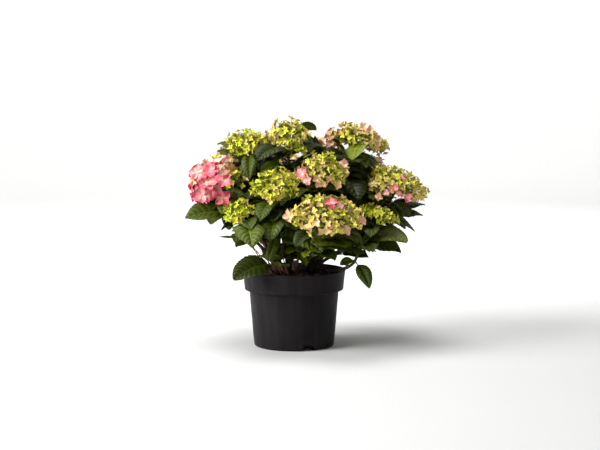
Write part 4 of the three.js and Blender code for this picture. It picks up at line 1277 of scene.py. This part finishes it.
def make_stub(random):
    form = STUB_FORM
    heights = np.linspace(0, 1, form.rings)
    radii = np.interp(heights, np.linspace(0, 1, len(STUB.radii)), STUB.radii)
    centres = np.stack([STUB.lean[0] * heights, STUB.lean[1] * heights,
                        SOIL_TOP_Z + GAP + STUB.tall * heights], -1)
    relief = ridges(random, turns_round(form.sides), heights, form.ridges)
    relief = relief + random.normal(0, form.rough, (len(heights), form.sides))
    pile = Pile()
    tube(pile, centres, radii, form.sides, 0, relief)
    return pile.build("stub_bark", [stub_material()])


# Compost

# How it falls to the pot, and its lumps as radians a millimetre and heights

SOIL = Named(
    fall=([0, 64, 77, 91], [SOIL_TOP_Z, SOIL_TOP_Z, SOIL_EDGE_Z + 3.2, SOIL_EDGE_Z]), lump_seed=77,
    lumps=[(0.11, 0.7), (0.27, 0.5), (0.6, 0.45), (1.15, 0.3)], lump_long=1.13, lump_turns=3,
    rings=70, turns=220, innermost=0.0004, clear=0.4, skirt=12, skirt_share=0.985,
)

# What the crumbs are drawn from: spans of their half sizes, and the share of each material

CHIPS = Named(
    count=900, reach=86, long=(1.2, 5.5), wide=(0.8, 2.4), thick=(0.4, 1.1), size=(0.5, 1),
    flatness=2.2, uneven=(0.65, 1.1), up=0.3, shares=[0.3, 0.25, 0.35, 0.1],
)
CHIP_CORNERS = np.array([[i, j, k] for i in (-1, 1) for j in (-1, 1) for k in (-1, 1)], float)
CHIP_FACES = [[0, 1, 3, 2], [4, 6, 7, 5], [0, 4, 5, 1], [2, 3, 7, 6], [0, 2, 6, 4], [1, 5, 7, 3]]
# The compost's colours are partly its own dark browns and partly painted shade, darkened for the shade
# under the crown.
SOIL_COLOURS = {
    "compost": ((10, 6, 4), (22, 13, 9), (40, 25, 17)),
    "bark_chip": ((30, 15, 9), (70, 36, 23), (112, 62, 40)),
    "peat_crumb": ((10, 6, 5), (20, 12, 9), (36, 23, 16)),
    "fibre_chip": ((60, 30, 18), (124, 66, 42), (160, 96, 64)),
}


def soil_height(x, y):
    """How high the compost lies: flat in the middle, down to the edge, lumpy all over."""
    ring = np.hypot(x, y)
    lumps = np.zeros_like(ring)
    random = np.random.default_rng(SOIL.lump_seed)
    for scale, high in SOIL.lumps:
        for _ in range(SOIL.lump_turns):
            turn = random.uniform(0, np.pi)
            phase = random.uniform(*WAVE_START, 2)
            wide = (x * math.cos(turn) + y * math.sin(turn)) * scale
            long = (y * math.cos(turn) - x * math.sin(turn)) * scale * SOIL.lump_long
            lumps += high * np.sin(wide + phase[0]) * np.sin(long + phase[1])
    return np.interp(ring, *SOIL.fall) + lumps


def soil_material(name):
    dark, mid, pale = SOIL_COLOURS[name]
    finish = Finish(name, mid, 0.92)
    finish.colour_from(finish.noise(420, 6), [(0.36, dark), (0.52, mid), (0.68, pale)])
    finish.bump(finish.noise(600, 6), 0.9, 0.002).bump(finish.cells(500), 0.5, 0.001)
    return finish.material


def add_chip(pile, random):
    """A flat crumb or chip of bark that lies on the compost."""
    place = math.sqrt(random.uniform(0, 1)) * CHIPS.reach
    turn = random.uniform(0, 2 * np.pi)
    x, y = place * math.cos(turn), place * math.sin(turn)
    half = np.array([random.uniform(*span) for span in (CHIPS.long, CHIPS.wide, CHIPS.thick)])
    half *= random.uniform(*CHIPS.size)
    way = unit(random.normal(0, 1, 3) + vec(0, 0, CHIPS.flatness))
    turn = random.uniform(0, np.pi)
    shaped = CHIP_CORNERS * half * random.uniform(*CHIPS.uneven, CHIP_CORNERS.shape)
    at = vec(x, y, float(soil_height(np.array([x]), np.array([y]))[0]) + CHIPS.up)
    pile.add(at + stood(shaped, way, turn), CHIP_FACES,
             quad_tints=random.choice(len(CHIPS.shares), p=CHIPS.shares))


def make_compost(random):
    rings = np.sqrt(np.linspace(SOIL.innermost, 1, SOIL.rings))
    rings = rings * (POT.rim_low_r - POT.wall - SOIL.clear)
    turns = turns_round(SOIL.turns)
    ring, turn = np.meshgrid(rings, turns, indexing="ij")
    x, y = ring * np.cos(turn), ring * np.sin(turn)
    points = np.stack([x, y, soil_height(x, y)], -1)
    narrow = vec(SOIL.skirt_share, SOIL.skirt_share, 0)
    skirt = points[-1] * narrow + vec(0, 0, SOIL_EDGE_Z - SOIL.skirt)
    points = np.concatenate([points, skirt[None]])
    pile = Pile()
    pile.add(points.reshape(-1, 3), grid_quads(len(points), SOIL.turns, wrap=True))
    pile.add(np.vstack([points[0], points[0].mean(0)]), tris=fan(0, SOIL.turns, SOIL.turns))
    for _ in range(CHIPS.count):
        add_chip(pile, random)
    return pile.build("compost_lumps", [soil_material(name) for name in SOIL_COLOURS], smooth=False)


# Pot

def arc(middle, radius, start, end, steps):
    turns = np.linspace(start, end, steps) * DEGREE
    return [(middle[0] + radius * math.cos(t), middle[1] + radius * math.sin(t)) for t in turns]


def pot_radius(z):
    if z >= COLLAR_Z + POT.collar_chamfer:
        share = (z - COLLAR_Z - POT.collar_chamfer) / (POT.collar_height - POT.collar_chamfer)
        return POT.rim_low_r + (POT.rim_top_r - POT.rim_low_r) * share
    return POT.base_r + (POT.body_top_r - POT.base_r) * z / COLLAR_Z


def pot_outline():
    """The pot's section from the middle of its underside, out, up, over the rim and down to its floor.

    The small numbers are the roundings and steps at its corners.
    """
    p = POT
    top, boss_r, body_r, low_r, rim_r = p.height, p.boss_r, p.body_top_r, p.rim_low_r, p.rim_top_r
    foot_in = p.base_r - p.foot_width
    floor_top = p.floor_under + p.floor
    shoulder = COLLAR_Z + p.collar_chamfer
    lip_r = rim_r + p.lip_out
    wall = p.wall
    boss = [(0.0, 0.0), (boss_r - 0.6, 0.0), (boss_r, 0.5), (boss_r + 2, p.floor_under)]
    foot = [(foot_in - 1, p.floor_under), (foot_in - 0.2, 0.6), (foot_in + 0.4, 0.0)]
    foot += arc((p.base_r - p.corner, p.corner), p.corner, -90, -4, 7)
    body = [(pot_radius(z), z) for z in (*p.body_rings, COLLAR_Z - 3)]
    collar = [(body_r, COLLAR_Z - 0.4), (body_r + 0.5, COLLAR_Z), (low_r - 3.2, COLLAR_Z + 0.7)]
    collar += arc((low_r - 2.6, COLLAR_Z + 3.4), 2.6, -75, 0, 6)
    collar += [(low_r, shoulder), (pot_radius(p.collar_ring), p.collar_ring)]
    rim = [(rim_r - 0.05, top - p.lip - 0.3), (rim_r + 0.3, top - p.lip)]
    rim += arc((lip_r - 1.0, top - 2.0), 1.0, -20, 30, 3) + arc((lip_r - 1.3, top - 1.3), 1.3, 20, 90, 4)
    rim += [(rim_r - wall + 0.5, top), (rim_r - wall, top - 0.5)]
    inside = [(low_r - wall, shoulder), (body_r - wall, COLLAR_Z)]
    inside += [(pot_radius(floor_top) - wall, floor_top), (0.0, floor_top)]
    return boss + foot + body + collar + rim + inside


def cut(piece, cutters):
    for cutter in cutters:
        modifier = piece.modifiers.new("cut", "BOOLEAN")
        modifier.operation = "DIFFERENCE"
        modifier.solver = "EXACT"
        modifier.object = cutter
    bpy.context.view_layer.update()
    evaluated = piece.evaluated_get(bpy.context.evaluated_depsgraph_get())
    cut_mesh = bpy.data.meshes.new_from_object(evaluated)
    piece.modifiers.clear()
    piece.data = cut_mesh
    for cutter in cutters:
        bpy.data.objects.remove(cutter)


PRISM_FACES = [[3, 2, 1, 0], [4, 5, 6, 7], [0, 1, 5, 4], [1, 2, 6, 5], [2, 3, 7, 6], [3, 0, 4, 7]]


def prism(name, corners, turn, low, high):
    """A closed block from four corners in a plane square to a radius, from low to high along it."""
    out = vec(math.cos(turn), math.sin(turn), 0)
    side = vec(-math.sin(turn), math.cos(turn), 0)
    points = [out * r + side * a + vec(0, 0, z) for r in (low, high) for a, z in corners]
    pile = Pile()
    pile.add(np.array(points), PRISM_FACES)
    return pile.build(name, [])


def pot_material():
    finish = Finish("pot_plastic", (27, 24, 25), 0.5, Specular_IOR_Level=0.08)
    streaks = finish.noise(60, 4, (1, 1, 0.15))
    finish.colour_from(streaks, [(0.3, (23, 20, 21)), (0.7, (33, 30, 31))])
    finish.bump(finish.noise(1700, 2), 0.25, 0.0002).bump(finish.noise(45, 3), 0.15, 0.0006)
    finish.rough_from(finish.noise(150, 4, (1, 1, 0.3)), 0.42, 0.6)
    return finish.material


# The angle from which an edge of the pot is drawn sharp, and how far the blocks and rods that cut it reach

SHARP_EDGE = 32 * DEGREE
CUTS = Named(notch_slack=1.5, notch_under=2, notch_near=1.6, notch_deep=3, drain_from=5,
             drain_to=17, drain_sides=24)


def pot_cutters():
    """Blocks that cut the notches out of the foot ring, and rods that cut the drain holes."""
    low, high = POT.notch_low / 2 + CUTS.notch_slack, POT.notch_high / 2
    corners = [(-low, -CUTS.notch_under), (low, -CUTS.notch_under)]
    corners += [(high, POT.notch_tall), (-high, POT.notch_tall)]
    near = POT.base_r - CUTS.notch_near * POT.foot_width
    far = near + CUTS.notch_deep * POT.foot_width
    cutters = [prism(f"notch_{k}", corners, turn * DEGREE, near, far)
               for k, turn in enumerate(POT.notch_turns)]
    for k in range(POT.drains):
        turn = k / POT.drains * 2 * math.pi
        at = vec(POT.drain_ring * math.cos(turn), POT.drain_ring * math.sin(turn), 0)
        run = [at + vec(0, 0, CUTS.drain_from), at + vec(0, 0, CUTS.drain_to)]
        pile = Pile()
        tube(pile, run, [POT.drain_r] * 2, CUTS.drain_sides)
        cutters.append(pile.build(f"drain_{k}", []))
    return cutters


def make_pot():
    outline = np.array(pot_outline())
    sides = POT.sides
    turns = turns_round(sides)
    r, z = outline[1:-1].T
    x, y = r[:, None] * np.cos(turns), r[:, None] * np.sin(turns)
    points = np.stack([x, y, z[:, None] * np.ones(sides)], -1).reshape(-1, 3)
    last = len(points)
    ends = np.array([[0, 0, outline[0][1]], [0, 0, outline[-1][1]]])
    fans = np.vstack([fan(0, sides, last, under=True), fan(last - sides, sides, last + 1)])
    pile = Pile()
    pile.add(np.vstack([points, ends]), grid_quads(len(r), sides, wrap=True), fans)
    pot = pile.build("nursery_pot", [pot_material()])
    cut(pot, pot_cutters())
    pot.data.set_sharp_from_angle(angle=SHARP_EDGE)
    return pot


# The plant as it grows, leaf by leaf

shoots = [grow(entry, i) for i, entry in enumerate(SHOOTS)]
shoots += [grow_blind(entry, len(SHOOTS) + i) for i, entry in enumerate(BLIND)]
space = Space(shoots)
placed = grow_leaves(shoots, space)
placed += [place_leaf(pose_leaf(entry, shoots), space, FINE_EASE) for entry in POSED_FINE]
placed += [dict(pose_leaf(entry, shoots), middle=vec(*entry[2])) for entry in POSED_CLOSE]
placed += grow_side_leaves(shoots, space)
placed += grow_low_leaves(shoots, space)
leaves = [leaf for leaf in placed if leaf]

# The greens of the other leaves in each zone of the crown, each with the draw that it reaches to. The
# greens darken towards the inside of the crown as painted shade, and the low leaves at the front take paler
# greens as painted light against the shade of the heads above them.

LEAF_RANDOM = np.random.default_rng(7)
LOW_FRONT = Named(nearer=-50, lower=215)
INSIDE, HALF_OUT = 0.5, 0.66
ZONE_GREENS = {
    "low_front": [(0.6, "fresh"), (1, "light")],
    "inside": [(0.4, "deep"), (1, "dark")],
    "half_out": [(0.7, "dark"), (0.9, "mid"), (1, "fresh")],
    "outside": [(0.36, "dark"), (0.9, "mid"), (1, "fresh")],
}


def zone_of(middle):
    if middle[1] < LOW_FRONT.nearer and middle[2] < LOW_FRONT.lower:
        return "low_front"
    out = crown_share(middle)
    return "inside" if out < INSIDE else "half_out" if out < HALF_OUT else "outside"


for leaf in leaves:
    pick = LEAF_RANDOM.uniform()
    greens = ZONE_GREENS[zone_of(leaf["middle"])]
    leaf.setdefault("green", next(green for reach, green in greens if pick < reach))


def touch_up(leaf, touch):
    """Changes the fine mesh of a posed leaf as TOUCHED says."""
    leaf["wide"] = touch["wide"]
    leaf["long"] *= touch.get("long", 1)
    leaf["from"] = leaf["from"] + vec(*touch.get("shift", (0, 0, 0)))
    for angle in ("pitch", "heading", "roll"):
        leaf[angle] += touch.get(angle, 0) * DEGREE
    for angle in ("droop", "fold"):
        if angle in touch:
            leaf[angle] = touch[angle] * DEGREE


for leaf in leaves:
    if leaf.get("tip") in TOUCHED:
        touch_up(leaf, TOUCHED[leaf["tip"]])

# Where the photo shows the backdrop through the plant: the left, right, low and high edge of each gap,
# measured on the plane y = 0 from the camera. A leaf that isn't posed, with more than a small share there,
# is left out.

CAMERA = Named(across=11, away=2840, high=520, target=224, field=22 * DEGREE, sensor=36)
SKY = [
    (-215, -116, 150, 212), (-118, -88, 150, 188), (-92, -58, 150, 180), (-68, -54, 178, 192),
    (60, 88, 154, 174), (-37, -22, 184, 196),
]
SKY_SHARE = 0.04


def seen_from_front(points):
    """Where points appear on the plane y = 0 from the camera's place."""
    share = CAMERA.away / (CAMERA.away + points[:, 1])
    x = CAMERA.across + (points[:, 0] - CAMERA.across) * share
    z = CAMERA.high + (points[:, 2] - CAMERA.high) * share
    return x, z


def in_sky(leaf):
    samples = blade_samples(leaf, vec(leaf["heading"]), vec(leaf["pitch"]), leaf["long"])[0]
    x, z = seen_from_front(samples)
    shares = [((x > left) & (x < right) & (z > low) & (z < high)).mean() for left, right, low, high in SKY]
    return sum(shares) > SKY_SHARE


leaves = [leaf for leaf in leaves if leaf.get("posed") or not in_sky(leaf)]


# The pieces and the nodes that they stand for

REGIONS = {"front_left": (-1, -1), "front_right": (1, -1), "back_left": (-1, 1), "back_right": (1, 1)}
REGION_EDGE = 20
HEAD_GROUPS = {
    "florets_pink": (["pink_left"], "flower_pink"),
    "florets_lime": (["upper_left", "mid_left", "low_left", "low_right", "top_middle"], "flower_lime"),
    "florets_cream_front": (["top_right", "centre", "right", "low_centre", "upper_right"], "flower_cream"),
    "florets_cream_back": (["top_back", "back_left", "back_middle", "back_right", "low_back_left",
                            "low_back_right"], "flower_cream"),
}


def region_of(shoot):
    end = shoot.path.points[-1]
    return (1 if end[0] > REGION_EDGE else -1, 1 if end[1] > REGION_EDGE else -1)


def dress(piece, nodes):
    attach(piece, "root")
    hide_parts(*nodes)


for region, corner in REGIONS.items():
    members = [shoot for shoot in shoots if region_of(shoot) == corner]
    pile = Pile()
    for leaf in leaves:
        if region_of(shoots[leaf["shoot"]]) == corner:
            add_leaf(pile, leaf, LEAF_RANDOM)
    nodes = [shoot.name if shoot.head is None else f"leaves_{shoot.name}" for shoot in members]
    dress(pile.build(f"foliage_{region}", leaf_materials), nodes)

HEAD_RANDOM = np.random.default_rng(19)
for name, (members, slot) in HEAD_GROUPS.items():
    pile = Pile()
    for shoot in shoots:
        if shoot.name in members:
            add_head(pile, shoot, HEAD_RANDOM)
    dress(pile.build(name, petal_materials), [f"head_{member}" for member in members])

CANE_RANDOM = np.random.default_rng(23)
pile = Pile()
for shoot in shoots:
    add_cane(pile, shoot, CANE_RANDOM)
for foot, tip in TWIGS:
    add_twig(pile, foot, tip, CANE_RANDOM)
canes = [f"cane_{shoot.name}" for shoot in shoots if shoot.head is not None]
dress(pile.build("canes", cane_materials()), canes)

dress(make_stub(np.random.default_rng(29)), ["stub"])
dress(make_compost(np.random.default_rng(31)), ["compost"])
dress(make_pot(), ["pot"])


# Floor, light and camera

# A round backdrop in millimetres, and lamps in metres and watts

STUDIO = Named(inner=40, flat=3200, bend=1400, tall=4200, sides=64, rings=24, bend_rings=14)
CROWN_AT = (0.02, 0, 0.26)
LIGHTS = [
    ("key", (-2.5, -1.15, 1.6), CROWN_AT, 2.2, 186),
    ("top", (-0.3, -0.2, 2.4), CROWN_AT, 1.2, 42),
    ("wall", (0, 1.2, 2.6), (0, 3.7, 1.2), 2.4, 150),
]
WORLD_LIGHT = 0.1


def make_sweep():
    """A pale floor that curves up into a wall all round, far from the plant."""
    flat, bend, count = STUDIO.flat, STUDIO.bend, STUDIO.sides
    path = [(r, 0.0) for r in np.linspace(STUDIO.inner, flat, STUDIO.rings)]
    bends = np.linspace(0, math.pi / 2, STUDIO.bend_rings)[1:]
    path += [(flat + bend * math.sin(t), bend * (1 - math.cos(t))) for t in bends]
    path += [(flat + bend, STUDIO.tall)]
    points = [vec(r * math.cos(t), r * math.sin(t), z) for r, z in path for t in turns_round(count)]
    pile = Pile()
    pile.add(np.array(points), grid_quads(len(path), count, wrap=True))
    pile.add(np.vstack([points[:count], vec(0, 0, 0)]), tris=fan(0, count, count))
    finish = Finish("pale_floor", (200, 200, 199), 0.9)
    finish.bump(finish.noise(90, 3), 0.05, 0.001)
    pile.build("floor_sweep", [finish.material])


def aim(thing, place, target):
    thing.location = place
    thing.rotation_euler = (Vector(target) - Vector(place)).to_track_quat("-Z", "Y").to_euler()


def area_light(name, place, target, size, power):
    data = bpy.data.lights.new(name, "AREA")
    data.shape = "DISK"
    data.size = size
    data.energy = power
    aim(new_object(name, data), place, target)


make_sweep()
for light in LIGHTS:
    area_light(*light)

world = bpy.data.worlds.new("studio")
world.use_nodes = True
background = world.node_tree.nodes["Background"]
background.inputs["Color"].default_value = (1, 1, 1, 1)
background.inputs["Strength"].default_value = WORLD_LIGHT
bpy.context.scene.world = world
bpy.context.scene.view_settings.view_transform = "Standard"

lens = bpy.data.cameras.new("camera")
lens.sensor_width = CAMERA.sensor
lens.lens = CAMERA.sensor / 2 / math.tan(CAMERA.field / 2)
camera = new_object("camera", lens)
aim(camera, vec(CAMERA.across, -CAMERA.away, CAMERA.high) * MM,
    vec(CAMERA.across, 0, CAMERA.target) * MM)
bpy.context.scene.camera = camera
